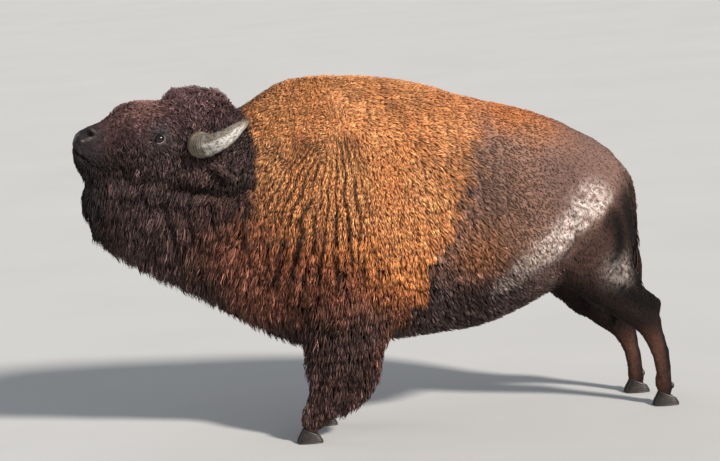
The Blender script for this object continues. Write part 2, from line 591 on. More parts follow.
@dataclass
class Growth:
    """The coat's measures at many places, one row to a place."""

    lie: Array
    length: Array
    depth: Array
    width: Array
    density: Array
    curl: Array
    droop: Array
    clump: Array


def growth_at(points: Array) -> Growth:
    """The coat's measures, each the mean of the guides' weighted by a bell curve of the distance.

    Args:
        points: places, one to a row.

    Returns:
        The growth at each place; the lie isn't yet laid along the skin.
    """
    near = folded(points)
    guides = list(GUIDES.values())
    place = np.array([g.place for g in guides])
    reach = np.array([g.reach for g in guides])
    pull = np.array([g.pull for g in guides])
    away = ((near[:, None, :] - place[None]) ** 2).sum(axis=2)
    exponent = -away / (2.0 * reach**2) + np.log(pull)
    weight = np.exp(exponent - exponent.max(axis=1, keepdims=True))
    weight /= weight.sum(axis=1, keepdims=True)
    mean = {key: weight @ np.array([getattr(g, key) for g in guides])
            for key in ("length", "depth", "width", "density", "curl", "droop", "clump")}
    lie = weight @ np.array([g.lie for g in guides])
    from_whorl = near - np.array(WHORL)
    gap = np.linalg.norm(from_whorl[:, [0, 2]], axis=1)
    spin = np.stack([from_whorl[:, 0], 0.0 * gap, from_whorl[:, 2]], axis=1) / (gap[:, None] + 0.02)
    whorl = bell(gap, 0.0, 0.16)[:, None] * ramp(near[:, 1:2], 0.02, 0.1)
    lie = lie * (1.0 - 0.6 * whorl) + spin * 0.9 * whorl
    lie[:, 1] *= np.where(points[:, 1] < 0.0, -1.0, 1.0) * ramp(near[:, 1], 0.0, 0.04)
    mean["density"] = mean["density"] * (1.0 - 0.65 * gloom(near))
    return Growth(lie=lie, **mean)


# ---------------- meshes
def edges_of(triangles: Array) -> Array:
    """Every edge once, as pairs of corner numbers."""
    pairs = np.sort(np.concatenate([triangles[:, [0, 1]], triangles[:, [1, 2]], triangles[:, [2, 0]]]))
    return np.unique(pairs, axis=0)


def normals_of(points: Array, triangles: Array) -> Array:
    """Corner normals: the sum of the faces' normals, each weighted by its area.

    Args:
        points: corners.
        triangles: corner numbers, three to a row.

    Returns:
        One unit normal to a corner.
    """
    a, b, c = (points[triangles[:, i]] for i in range(3))
    face = np.cross(b - a, c - a)
    total = np.zeros_like(points)
    for i in range(3):
        for axis in range(3):
            total[:, axis] += np.bincount(triangles[:, i], face[:, axis], len(points))
    return unit(total)


def relaxed(points: Array, edges: Array, times: int, share: float | Array = 0.5,
            back: float = 1.06) -> Array:
    """Corners moved towards the mean of their neighbours, then pushed back out by as much.

    The push back keeps the form from shrinking, so that only the small unevenness goes.

    Args:
        points: corners.
        edges: pairs of corner numbers.
        times: how often.
        share: how far each time, one number or one to a corner.
        back: the push back as a multiple of the share.

    Returns:
        The moved corners.
    """
    count = np.maximum(np.bincount(edges.ravel(), minlength=len(points)), 1)[:, None]
    share = np.broadcast_to(np.asarray(share, float), (len(points),))[:, None]
    for turn in range(2 * times):
        total = np.stack([np.bincount(edges[:, 0], points[edges[:, 1], axis], len(points))
                          + np.bincount(edges[:, 1], points[edges[:, 0], axis], len(points))
                          for axis in range(3)], axis=1)
        pull = share if turn % 2 == 0 else -back * share
        points = points + pull * (total / count - points)
    return points


def placed(name: str, data: bpy.types.ID) -> bpy.types.Object:
    """A new object in the scene, at the origin.

    Args:
        name: its name.
        data: its mesh, light or camera.

    Returns:
        The object.
    """
    thing = bpy.data.objects.new(name, data)
    bpy.context.scene.collection.objects.link(thing)
    return thing


@dataclass
class Surface:
    """A closed surface of triangles with the values its materials read.

    maps holds numbers for each corner of each face, values numbers for each point.
    """

    name: str
    points: Array
    triangles: Array
    colours: Array
    maps: dict[str, Array] = field(default_factory=dict)
    values: dict[str, Array] = field(default_factory=dict)

    def build(self, material: Material, slot: str,
              replaces: tuple[str, ...] = ()) -> bpy.types.Object:
        """Put the surface in the scene as a smooth mesh that rides on the frame.

        Args:
            material: its finish.
            slot: the record's material slot.
            replaces: solids that this piece stands for.

        Returns:
            The new object, at the origin.
        """
        mesh = bpy.data.meshes.new(self.name)
        count = len(self.triangles)
        mesh.vertices.add(len(self.points))
        mesh.vertices.foreach_set("co", self.points.astype(np.float32).ravel())
        mesh.loops.add(count * 3)
        mesh.loops.foreach_set("vertex_index", self.triangles.astype(np.int32).ravel())
        mesh.polygons.add(count)
        mesh.polygons.foreach_set("loop_start", np.arange(0, count * 3, 3, dtype=np.int32))
        mesh.polygons.foreach_set("use_smooth", np.ones(count, bool))
        mesh.update(calc_edges=True)
        for name, corners in self.maps.items():
            layer = mesh.uv_layers.new(name=name, do_init=False)
            layer.uv.foreach_set("vector", corners.astype(np.float32).ravel())
        colour = np.ones((len(self.points), 4), np.float32)
        colour[:, :3] = self.colours
        layer = mesh.color_attributes.new(name="Coat", type="FLOAT_COLOR", domain="POINT")
        layer.data.foreach_set("color", colour.ravel())
        for name, numbers in self.values.items():
            layer = mesh.attributes.new(name, "FLOAT", "POINT")
            layer.data.foreach_set("value", numbers.astype(np.float32))
        mesh.materials.append(material)
        thing = placed(self.name, mesh)
        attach(thing, "root")
        if replaces:
            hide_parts(*replaces)
        log.info("%s: %d triangles", self.name, count)
        return thing


def numbers(items: bpy.types.bpy_prop_collection, key: str, kind: type = float) -> Array:
    """One property of every item of a mesh's collection, three numbers to a row.

    Args:
        items: the collection.
        key: the property.
        kind: the numbers' type.

    Returns:
        The rows.
    """
    values = np.empty(len(items) * (1 if key == "vertex_index" else 3), kind)
    items.foreach_get(key, values)
    return values.reshape(-1, 3)


def mesh_of(body: bmesh.types.BMesh) -> bpy.types.Mesh:
    """A scratch mesh of a body."""
    mesh = bpy.data.meshes.new("scratch")
    body.to_mesh(mesh)
    return mesh


def quads(a: Array, b: Array, c: Array, d: Array) -> Array:
    """Two triangles for each quad, from its four corners' numbers in turn."""
    return np.concatenate([np.stack([a, b, c], 1), np.stack([a, c, d], 1)])


def tube(rings: Array) -> tuple[Array, Array]:
    """Points and triangles of a closed form from rings of points, with a pole at each end.

    Args:
        rings: an array of rings, points in a ring, and x, y, z. Seen along the run, the points go
            round clockwise as seen from the first ring's side, so the faces look out.

    Returns:
        Points, then triangles.
    """
    count, around = rings.shape[:2]
    points = np.concatenate([rings.reshape(-1, 3), rings[:1].mean(axis=1), rings[-1:].mean(axis=1)])
    i, j = (grid.ravel() for grid in np.indices((count - 1, around)))
    a, b = i * around + j, i * around + (j + 1) % around
    ring = np.arange(around)
    onward = (ring + 1) % around
    first = np.full(around, count * around)
    base = (count - 1) * around
    return points, np.concatenate([quads(a, b, b + around, a + around), np.stack([first, onward, ring], 1),
                                   np.stack([first + 1, base + ring, base + onward], 1)])


def facing_out(points: Array, triangles: Array) -> Array:
    """Triangles turned, if need be, so that the closed surface has a positive volume."""
    a, b, c = (points[triangles[:, i]] for i in range(3))
    return triangles if np.einsum("ij,ij->", a, np.cross(b, c)) > 0.0 else triangles[:, ::-1]


# ---------------- the skin
@dataclass(frozen=True)
class Swell:
    """A rounded rise of the skin, or with a negative rise a hollow, on both sides of the body."""

    place: Spot
    reach: float
    rise: float

    def at(self, points: Array) -> Array:
        """Rise at each folded place, a bell curve of the distance."""
        away = ((points - np.array(self.place)) ** 2).sum(axis=1)
        return self.rise * np.exp(-away / (2.0 * self.reach**2))


@dataclass(frozen=True)
class Crease(Line):
    """A groove of the skin along a bent line."""

    def at(self, near: Array) -> Array:
        """Fall of the skin at each folded place, less at the line's ends."""
        share, run = self.close(near, SIDEWAYS)
        return -self.depth * share * (0.35 + 0.65 * np.sin(math.pi * run))

    def share(self, near: Array) -> Array:
        """How close each folded place is to the line, from 0 to 1."""
        return self.close(near, SIDEWAYS)[0]


BODY_SHAPES = (
    Swell((0.9, 0.2, 1.32), 0.055, 0.016), Swell((1.19, 0.06, 1.24), 0.045, 0.012),
    Swell((0.76, 0.26, 1.2), 0.095, -0.018), Swell((0.98, 0.24, 0.78), 0.08, 0.014),
    Swell((1.12, 0.24, 0.98), 0.09, 0.012), Swell((1.345, 0.19, 0.51), 0.022, 0.006),
    Swell((1.18, 0.24, 0.63), 0.04, 0.006), Swell((1.265, 0.2, 0.6), 0.03, -0.008),
    Swell((0.935, 0.29, 1.06), 0.03, 0.006),
    Crease(((0.96, 0.27, 1.12), (0.935, 0.28, 1.02), (0.952, 0.28, 0.95), (0.948, 0.27, 0.89),
            (0.88, 0.25, 0.78), (0.85, 0.2, 0.68)), 0.016, 0.014),
    Crease(((1.22, 0.2, 1.1), (1.19, 0.25, 0.9), (1.21, 0.23, 0.7)), 0.022, 0.01),
    Crease(((1.14, 0.24, 0.66), (1.22, 0.23, 0.58), (1.29, 0.22, 0.53)), 0.014, 0.007),
    Crease(((1.325, 0.235, 0.5), (1.335, 0.235, 0.36), (1.37, 0.235, 0.16)), 0.01, 0.005),
    Crease(((1.28, 0.235, 0.42), (1.335, 0.23, 0.3), (1.355, 0.23, 0.16)), 0.01, 0.003),
)
FACE_SHAPES = (
    Swell((-1.404, 0.056, 1.572), 0.016, 0.01), Swell((-1.362, 0.074, 1.562), 0.016, 0.008),
    Swell((-1.415, 0.055, 1.5), 0.024, 0.007), Swell((-1.405, 0.04, 1.425), 0.026, 0.014),
    Swell((-1.2, 0.11, 1.53), 0.045, 0.006), Swell((-1.12, 0.14, 1.4), 0.05, 0.008),
    Swell((-1.28, 0.085, 1.56), 0.028, -0.008), Swell((-1.34, 0.08, 1.5), 0.022, 0.005),
)
NOSTRIL = Crease(((-1.394, 0.052, 1.592), (-1.38, 0.055, 1.596), (-1.362, 0.06, 1.588),
                  (-1.346, 0.064, 1.574)), 0.011, 0.038)
MOUTH = Crease(((-1.452, 0.0, 1.52), (-1.436, 0.045, 1.515), (-1.42, 0.07, 1.485), (-1.373, 0.083, 1.44),
                (-1.318, 0.084, 1.412)), 0.0085, 0.02)
NOSTRIL_RIMS = (
    Crease(((-1.424, 0.044, 1.556), (-1.412, 0.05, 1.585), (-1.388, 0.048, 1.608), (-1.356, 0.048, 1.608),
            (-1.332, 0.056, 1.59)), 0.0058, -0.0045),
    Crease(((-1.396, 0.066, 1.55), (-1.366, 0.072, 1.556), (-1.336, 0.074, 1.567), (-1.308, 0.07, 1.588)),
           0.006, -0.005),
    Crease(((-1.437, 0.03, 1.535), (-1.428, 0.05, 1.515), (-1.412, 0.07, 1.492)), 0.004, -0.002),
)
FACE_LINES = (
    NOSTRIL, MOUTH, *NOSTRIL_RIMS,
    Crease(((-1.45, 0.0, 1.53), (-1.44, 0.0, 1.56), (-1.425, 0.0, 1.585)), 0.005, 0.006),
    Crease(((-1.4, 0.068, 1.556), (-1.378, 0.08, 1.548), (-1.352, 0.086, 1.556)), 0.0055, 0.007),
    Crease(((-1.42, 0.066, 1.545), (-1.404, 0.078, 1.515), (-1.4, 0.08, 1.485)), 0.006, 0.005),
    Crease(((-1.34, 0.072, 1.598), (-1.33, 0.088, 1.57), (-1.335, 0.092, 1.535)), 0.005, 0.004),
    Crease(((-1.318, 0.07, 1.6), (-1.305, 0.088, 1.57), (-1.308, 0.092, 1.53)), 0.005, 0.0035),
    Crease(((-1.395, 0.075, 1.53), (-1.365, 0.087, 1.505), (-1.34, 0.09, 1.485)), 0.0055, 0.004),
)


@dataclass
class EyeSite:
    """Where one eye sits: its middle, and the directions out, forward along the lids, and up."""

    side: float
    centre: Array
    out: Array
    fore: Array
    up: Array

    @classmethod
    def of(cls, name: str) -> EyeSite:
        """The site of the solid of one eye.

        Args:
            name: left or right.

        Returns:
            The site, with its middle sunk a little deeper than the solid's.
        """
        low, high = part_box(f"{name}_eye")
        side = SIDES[name]
        out = unit(np.array([-0.24, side * 0.96, 0.1]))
        fore = np.array([-1.0, 0.0, -0.24])
        fore = unit(fore - (fore @ out) * out)
        up = unit(np.cross(out, fore)) * -side
        up = up if up[2] > 0.0 else -up
        centre = (np.array(low) + np.array(high)) / 2.0 - out * EYE_SINK
        return cls(side, centre, out, fore, up)

    def flat(self, points: Array) -> tuple[Array, Array, Array]:
        """Places as seen facing the eye."""
        away = points - self.centre
        return away @ self.fore, away @ self.up, away @ self.out

    def opening(self, angle: Array) -> tuple[Array, Array]:
        """The edge of the lids: an almond whose inner corner is drawn out and down.

        Args:
            angle: turn round the opening, nought at the inner corner.

        Returns:
            Forward and up from the eye's middle.
        """
        corner = np.exp(-((np.mod(angle + math.pi, 2 * math.pi) - math.pi) / 0.3) ** 2)
        fore = LID_HALF_LENGTH * np.cos(angle) + 0.0075 * corner
        height = np.where(np.sin(angle) > 0.0, 1.0, 0.92) * LID_HALF_HEIGHT
        return fore, height * np.sin(angle) - 0.005 * corner

    def ring(self, along: Array, up: Array) -> Array:
        """Distance from the eye's middle with the edge of the lids as one.

        Args:
            along: forward from the eye's middle.
            up: up from it.

        Returns:
            Ratios; the inner corner is drawn out as the opening is.
        """
        corner = bell(np.arctan2(up, along), 0.0, 0.3)
        length = LID_HALF_LENGTH + 0.0075 * corner
        height = np.where(up > 0.0, 1.0, 0.92) * LID_HALF_HEIGHT
        return np.hypot(along / length, (up + 0.005 * corner * along / length) / height)

    def skin_height(self, along: Array, up: Array) -> Array:
        """Outward height of the lids and folds round the eye.

        The lids lie a few millimetres over the ball, two grooves part them from the brow and the
        cheek, and inside the opening the skin drops behind the ball.

        Args:
            along: forward from the eye's middle.
            up: up from it.

        Returns:
            Heights outward from the eye's middle.
        """
        far = np.hypot(along, up)
        ring = self.ring(along, up)
        shell = EYE_RADIUS + 0.0036
        edge = 0.025
        dome = np.sqrt(shell**2 - np.minimum(far, edge) ** 2) - 0.45 * np.maximum(far - edge, 0.0)
        upper = ramp(up, -0.004, 0.01)
        fold = -0.0036 * bell(ring, 1.5, 0.1) * (0.15 + 0.85 * upper)
        fold += -0.0024 * bell(ring, 1.95, 0.14) * (1.0 - 0.5 * upper)
        fold += -0.002 * bell(ring, 2.45, 0.16) * (1.0 - upper)
        lid = 0.0026 * bell(ring, 1.24, 0.13) * (0.3 + 0.7 * upper)
        brow = 0.011 * np.exp(-((up - 0.041) / 0.013) ** 2 - ((along - 0.006) / 0.046) ** 2)
        tear = -0.003 * bell(up + 0.62 * (along - 0.03) + 0.006, 0.0, 0.004)
        tear = tear * ramp(along, 0.024, 0.034) * (1.0 - ramp(along, 0.05, 0.066))
        height = dome + fold + lid + brow + tear
        inside = 1.0 - ramp(ring, 0.86, 1.04)
        return height * (1.0 - inside) + (dome - 0.016) * inside


@dataclass
class Skin:
    """The one skin of the body, melted from the flesh solids."""

    eyes: tuple[EyeSite, ...]
    shell: Array | None = None
    points: Array | None = None
    triangles: Array | None = None
    normals: Array | None = None

    def melted(self) -> bmesh.types.BMesh:
        """The flesh solids melted into one body.

        Returns:
            A bmesh of it.
        """
        whole = bmesh.new()
        for name in FLESH:
            piece = bmesh.new()
            piece.from_mesh(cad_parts[name].data)
            bmesh.ops.remove_doubles(piece, verts=piece.verts, dist=1e-5)
            piece.normal_update()
            scratch = mesh_of(piece)
            piece.free()
            corners = numbers(scratch.vertices, "co", np.float32)
            facing = numbers(scratch.vertex_normals, "vector", np.float32)
            scratch.vertices.foreach_set("co", (corners + SKIN_SWELL * facing).ravel())
            whole.from_mesh(scratch)
            bpy.data.meshes.remove(scratch)
        mesh = mesh_of(whole)
        whole.free()
        thing = placed("melting", mesh)
        melt = thing.modifiers.new("melt", "REMESH")
        melt.mode = "VOXEL"
        melt.voxel_size = SKIN_VOXEL
        bpy.context.view_layer.update()
        shaped = thing.evaluated_get(bpy.context.evaluated_depsgraph_get())
        body = bmesh.new()
        body.from_mesh(shaped.to_mesh())
        shaped.to_mesh_clear()
        bpy.data.objects.remove(thing)
        bpy.data.meshes.remove(mesh)
        return body

    def from_eyes(self, points: Array) -> Array:
        """Distance of each place from the nearer eye."""
        return np.min([np.linalg.norm(points - site.centre, axis=1) for site in self.eyes], axis=0)

    def wanted(self, middles: Array, level: int) -> Array:
        """Which faces are split again at a level of detail.

        Args:
            middles: the faces' middles.
            level: 0 to 2.

        Returns:
            True for each face to split.
        """
        eye = self.from_eyes(middles)
        nostril = np.linalg.norm(folded(middles) - np.array([-1.38, 0.058, 1.58]), axis=1)
        x, _, z = middles.T
        if level == 0:
            return (x < -0.95) & (z > 1.32 - 0.3 * (x + 1.2))
        if level == 1:
            return (eye < 0.08) | ((x < -1.29) & (z > 1.36))
        return (eye < 0.048) | (nostril < 0.04)

    def split(self, body: bmesh.types.BMesh) -> None:
        """Split the faces of the face finer, and finest at the eyes and nostrils.

        Args:
            body: the melted body, changed in place.
        """
        for level in range(3):
            body.faces.ensure_lookup_table()
            scratch = mesh_of(body)
            chosen = np.flatnonzero(self.wanted(numbers(scratch.polygons, "center"), level))
            bpy.data.meshes.remove(scratch)
            edges = {edge for i in chosen for edge in body.faces[i].edges}
            bmesh.ops.subdivide_edges(body, edges=list(edges), cuts=1, use_grid_fill=True)

    def largest(self, points: Array, triangles: Array) -> tuple[Array, Array]:
        """The largest connected piece of a surface.

        Args:
            points: corners.
            triangles: corner numbers.

        Returns:
            The piece's own points and triangles.
        """
        edges = edges_of(triangles)
        label = np.arange(len(points))
        while True:
            low = np.minimum(label[edges[:, 0]], label[edges[:, 1]])
            new = label.copy()
            np.minimum.at(new, edges[:, 0], low)
            np.minimum.at(new, edges[:, 1], low)
            new = new[new]
            if (new == label).all():
                break
            label = new
        main = np.bincount(label).argmax()
        kept = label == main
        number = np.cumsum(kept) - 1
        return points[kept], number[triangles[kept[triangles[:, 0]]]]

    def shape(self) -> None:
        """Melt, refine, draw in by the coat's depth, and sculpt."""
        body = self.melted()
        self.split(body)
        bmesh.ops.triangulate(body, faces=body.faces)
        mesh = mesh_of(body)
        body.free()
        points, triangles = self.largest(numbers(mesh.vertices, "co"),
                                         numbers(mesh.loops, "vertex_index", np.int32))
        bpy.data.meshes.remove(mesh)
        triangles = facing_out(points, triangles)
        edges = edges_of(triangles)
        points = relaxed(points, edges, EVENED)
        self.shell = points.copy()

        normals = normals_of(points, triangles)
        near = folded(points)
        bone = np.min([to_path(near, path)[0] for path in BONES], axis=0)
        depth = growth_at(points).depth + sum(cleft.depth * cleft.at(near) for cleft in CLEFTS)
        depth = np.minimum(depth + 0.01 * partings(near), BONE_SHARE * bone)
        points = relaxed(points - normals * depth[:, None], edges, EVENED)
        points = self.footed(points)

        rise = sum(form.at(folded(points)) for form in BODY_SHAPES)
        rise = rise + 0.003 * ripple(points, 0.16, 21) * ramp(points[:, 0], 0.3, 0.6)
        x, _, z = points.T
        firm = ramp(x, 1.08, 1.16) * (1.0 - ramp(z, 0.5, 0.62)) * ramp(z, 0.05, 0.1)
        rise = np.minimum(rise, depth - 0.0025) + 0.0038 * firm
        points = points + normals_of(points, triangles) * rise[:, None]
        near = folded(points)
        rise = sum(form.at(near) for form in FACE_SHAPES + FACE_LINES)
        points = points + normals_of(points, triangles) * rise[:, None]
        for site in self.eyes:
            along, up, out = site.flat(points)
            here = (1.0 - ramp(np.hypot(along, up), 0.04, 0.068)) * (out > -0.05)
            target = site.skin_height(along, up)
            points = points + ((target - out) * here)[:, None] * site.out
        still = ramp(self.from_eyes(points), 0.05, 0.08) * ramp(folded(points)[:, 0], -1.33, -1.25)
        points = relaxed(points, edges, 2, 0.4 * still)
        self.points, self.triangles = points, triangles
        self.normals = normals_of(points, triangles)

    def footed(self, points: Array) -> Array:
        """The lower ends of the legs drawn down and in, so that they sit in the claws.

        Args:
            points: the skin's corners.

        Returns:
            The moved corners.
        """
        low = 1.0 - ramp(points[:, 2], 0.058, 0.095)
        near = folded(points)
        middle = np.where(near[:, 0] < 0.3, FOOT_X["fore"], FOOT_X["hind"]) + 0.014
        inward = 0.1 * (1.0 - ramp(points[:, 2], 0.055, 0.07))
        moved = points.copy()
        moved[:, 0] += (middle - near[:, 0]) * inward
        moved[:, 2] -= 0.03 * low
        return moved

    def build(self, material: Material) -> bpy.types.Object:
        """Put the skin in the scene.

        Args:
            material: the hide's finish.

        Returns:
            The skin object.
        """
        colours = markings(self.points)
        growth = growth_at(self.points)
        woolly = ramp(growth.length, 0.02, 0.04)
        near = folded(self.points)
        colours = colours * ((1.0 - 0.5 * woolly) * (1.0 - 0.92 * gloom(near)))[:, None]
        pad = nose_pad(near)
        rim = np.zeros(len(near))
        for site in self.eyes:
            along, up, out = site.flat(self.points)
            ring = site.ring(along, up)
            close = (ring < 1.8) & (np.abs(out) < 0.045)
            pale = 0.1 + 0.9 * (1.0 - ramp(up + 0.75 * along, -0.014, -0.002))
            rim = np.maximum(rim, np.where(close, (1.0 - ramp(ring, 1.06, 1.3)) * pale, 0.0))
            shade = 0.6 * bell(ring, 1.5, 0.12) * ramp(up, -0.006, 0.008)
            shade = np.maximum(shade, 0.75 * (1.0 - ramp(ring, 1.15, 1.36)) * (1.0 - pale)) * close
            colours = colours * (1.0 - shade)[:, None]
        colours = mixed(colours, srgb(104, 92, 88), 0.38 * rim)
        dark = np.clip(1.25 * np.maximum(NOSTRIL.share(near), 0.75 * MOUTH.share(near)), 0.0, 1.0)
        colours = colours * (1.0 - 0.97 * dark)[:, None]
        moist = np.clip(0.8 * pad + 0.6 * rim - 1.4 * dark, 0.0, 1.0)
        surface = Surface("skin", self.points, self.triangles, colours, values={"Moist": moist})
        return surface.build(material, "short_coat", FLESH)


def nose_pad(near: Array) -> Array:
    """How far each folded place belongs to the bare nose and lips.

    Args:
        near: folded places.

    Returns:
        Shares from 0 to 1.
    """
    pad, _ = to_path(near, ((-1.44, 0.0, 1.56), (-1.41, 0.04, 1.575), (-1.375, 0.055, 1.588)))
    lips, _ = to_path(near, MOUTH.path)
    return np.maximum(1.0 - ramp(pad, 0.022, 0.036), 0.8 * (1.0 - ramp(lips, 0.006, 0.014)))


# ---------------- eyes, horns, ears, claws
@dataclass
class Eye:
    """One eyeball and the moist rim of its lids."""

    name: str
    site: EyeSite

    def ball(self) -> Surface:
        """The eyeball: a sphere with a slightly raised cornea, dark iris and lying pupil.

        Returns:
            Its surface.
        """
        tilt = np.linspace(0.0, math.pi, BALL_ROWS)[1:-1]
        turn = circle(BALL_SIDES)
        tilts, turns = np.meshgrid(tilt, turn, indexing="ij")
        radius = EYE_RADIUS * (1.0 + 0.035 * bell(tilts, 0.0, 0.55))
        fore = np.sin(tilts) * np.cos(turns)
        up = np.sin(tilts) * np.sin(turns)
        site = self.site
        rings = site.centre + radius[..., None] * (
            fore[..., None] * site.fore + up[..., None] * site.up + np.cos(tilts)[..., None] * site.out)
        points, triangles = tube(rings)
        along, height, out = site.flat(points)
        along, height = along / EYE_RADIUS, height / EYE_RADIUS
        ring = np.hypot(along, height)
        pupil = 1.0 - ramp(np.hypot(along / 0.36, height / 0.19), 0.85, 1.1)
        rays = 0.5 + 0.5 * np.sin(np.arctan2(height, along) * 38.0 + 5.0 * ring)
        iris = mixed(srgb(6, 4, 4), srgb(20, 12, 9), 0.6 * rays * ramp(ring, 0.2, 0.55))
        colour = mixed(iris, srgb(20, 16, 15), ramp(ring, 0.72, 0.86))
        colour = mixed(colour, srgb(6, 6, 8), np.where(out > 0.0, pupil, 0.0))
        return Surface(f"{self.name}_eyeball", points, facing_out(points, triangles), colour)

    def rim(self) -> Surface:
        """The moist edge of both lids: a soft tube along the opening that rests on the ball.

        Returns:
            Its surface.
        """
        angle = circle(RIM_ROWS)
        along, up = self.site.opening(angle)
        site = self.site
        height = np.sqrt(np.maximum((EYE_RADIUS + 0.001) ** 2 - along**2 - up**2, 6e-5))
        centre = (site.centre + along[:, None] * site.fore + up[:, None] * site.up
                  + height[:, None] * site.out)
        away = unit(along[:, None] * site.fore + up[:, None] * site.up)
        upper = ramp(up + 0.75 * along, -0.012, -0.002)
        thick = 0.001 + 0.0018 * upper
        turn = circle(RIM_SIDES)
        rings = (centre[:, None] + thick[:, None, None] * (
            1.25 * np.cos(turn)[None, :, None] * away[:, None] + np.sin(turn)[None, :, None] * site.out))
        i, j = (grid.ravel() for grid in np.indices((RIM_ROWS, RIM_SIDES)))
        a, b = i * RIM_SIDES + j, i * RIM_SIDES + (j + 1) % RIM_SIDES
        onward = ((i + 1) % RIM_ROWS) * RIM_SIDES
        points = rings.reshape(-1, 3)
        triangles = facing_out(points - site.centre, quads(a, b, onward + (j + 1) % RIM_SIDES, onward + j))
        inner = np.tile(0.5 - 0.5 * np.cos(turn), RIM_ROWS)
        pale = mixed(srgb(96, 82, 76), srgb(206, 186, 174), 0.3 + 0.7 * inner)
        colour = mixed(pale, srgb(34, 28, 28), np.repeat(upper, RIM_SIDES) * 0.92)
        return Surface(f"{self.name}_lid_rim", points, triangles, colour,
                       values={"Moist": np.full(len(points), 0.9)})


HORN = ((-0.843, 0.12, 1.497, 1.0), (-0.847, 0.195, 1.496, 1.03), (-0.837, 0.24, 1.496, 0.97),
        (-0.793, 0.284, 1.506, 0.87), (-0.733, 0.303, 1.532, 0.72), (-0.669, 0.297, 1.572, 0.47),
        (-0.609, 0.276, 1.606, 0.13))
EAR = ((-0.816, 0.15, 1.4, 0.026, 0.02), (-0.796, 0.195, 1.385, 0.034, 0.018),
       (-0.766, 0.235, 1.368, 0.031, 0.013), (-0.738, 0.266, 1.352, 0.019, 0.008),
       (-0.722, 0.28, 1.345, 0.006, 0.004))
HORN_BASE = 0.058
HORN_ROWS, HORN_SIDES = 150, 56
EAR_SIDES, CLAW_SIDES = 40, 48
CORONET, CORONET_FALL = 0.0545, 0.0165  # height of a claw's upper edge, and its fall to the front
CLAW_HALF_LENGTH, CLAW_HALF_WIDTH, CLAW_APART = 0.0615, 0.025, 0.0275
DEWCLAW, DEWCLAW_APART, DEWCLAW_HEIGHT = (0.0105, 0.0095, 0.016), 0.021, 0.096
EAR_LOCKS = 420
BARE_SOLE, BARE_LIDS = 0.042, 1.24  # no hair below this height, or nearer the eye than this ratio


def swept(rows: Array, across: Array, around: int) -> tuple[Array, Array, Array, Array]:
    """Directions for sweeping rings along a path.

    Args:
        rows: places along the path.
        across: a fixed direction that the rings call sideways.
        around: points in a ring.

    Returns:
        The turn of each point of a ring, and for each row its fore and sideways directions, then
        the share of the run.
    """
    along = unit(np.gradient(rows[:, :3], axis=0))
    fore = unit(np.cross(along, across))
    side = unit(np.cross(fore, along))
    turn = circle(around)
    return turn, fore, side, np.linspace(0.0, 1.0, len(rows))


@dataclass
class Horn:
    """One horn: a curved cone with a stepped burr, growth rings and a dark point."""

    name: str
    side: float

    def surface(self) -> Surface:
        """The horn's surface.

        Returns:
            The piece.
        """
        rows = smooth_rows(HORN, HORN_ROWS)
        rows[:, 1] *= self.side
        turn, fore, across, run = swept(rows, np.array([0.0, 0.0, 1.0]), HORN_SIDES)
        steps = (run * 30.0 + 0.9 * np.sin(run * 17.0)) % 1.0
        worn = 1.0 - ramp(run, 0.34, 0.66)
        ridge = (steps**1.6 - 0.4) * 0.05 * worn * ramp(run, 0.1, 0.2)
        burr = 0.07 * bell(run, 0.235, 0.04) - 0.1 * ramp(run, 0.395, 0.425) * (1.0 - run)
        radius = HORN_BASE * rows[:, 3] * (1.0 + ridge + burr)
        radius[-4:] *= np.array([0.95, 0.86, 0.68, 0.35])
        wheel = np.cos(turn)[None, :, None] * fore[:, None] + np.sin(turn)[None, :, None] * across[:, None]
        places = rows[:, None, :3] + radius[:, None, None] * wheel
        share = np.repeat(run, len(turn))
        round_it = np.tile(np.stack([np.cos(turn), np.sin(turn)], axis=1), (len(run), 1))
        grain = np.column_stack([share * 2.2, round_it])
        flutes = ripple(grain, 0.75, 31) + 0.6 * ripple(grain, 0.3, 32)
        rough = 0.0013 * flutes * np.repeat(np.minimum(1.0, radius / 0.02), len(turn))
        places = (places.reshape(-1, 3) + rough[:, None] * wheel.reshape(-1, 3)).reshape(places.shape)
        points, triangles = tube(places)
        share = np.concatenate([share, [0.0, 1.0]])
        step = np.concatenate([np.repeat(steps, len(turn)), [0.0, 0.0]])
        flutes = np.concatenate([flutes, [0.0, 0.0]])
        under = np.concatenate([(wheel @ np.array([0.0, 0.45 * self.side, -0.9])).ravel(), [0.0, 0.0]])
        grain = np.concatenate([grain, np.zeros((2, 3))]) * np.array([1.6, 2.4, 2.4])
        mottle, crack = ripple(grain, 0.26, 33), ripple(grain, 0.13, 34)
        far = ramp(share, 0.3, 0.44)
        pale = ramp(under + 0.45 * flutes, -0.1, 0.6) * far
        dark = 0.88 * ramp(crack, 0.05, 0.7) * far * (1.0 - 0.2 * pale)
        colour = mixed(srgb(124, 114, 100), srgb(110, 105, 99), far)
        colour = mixed(colour, srgb(184, 181, 177), 0.85 * pale)
        colour = mixed(colour, srgb(112, 94, 66), 0.8 * ramp(mottle, 0.0, 0.6) * (1.0 - 0.35 * pale))
        colour = mixed(colour, srgb(44, 38, 34), dark)
        rings = (1.0 - ramp(step, 0.05, 0.4)) * (1.0 - ramp(share, 0.4, 0.6))
        colour = mixed(colour, srgb(40, 33, 28), 0.85 * rings)
        colour = mixed(colour, srgb(92, 74, 46), 0.6 * ramp(share, 0.78, 0.95))
        colour = mixed(colour, srgb(36, 31, 28), 0.85 * ramp(share + 0.04 * flutes, 0.88, 0.98))
        return Surface(self.name, points, facing_out(points, triangles), colour)


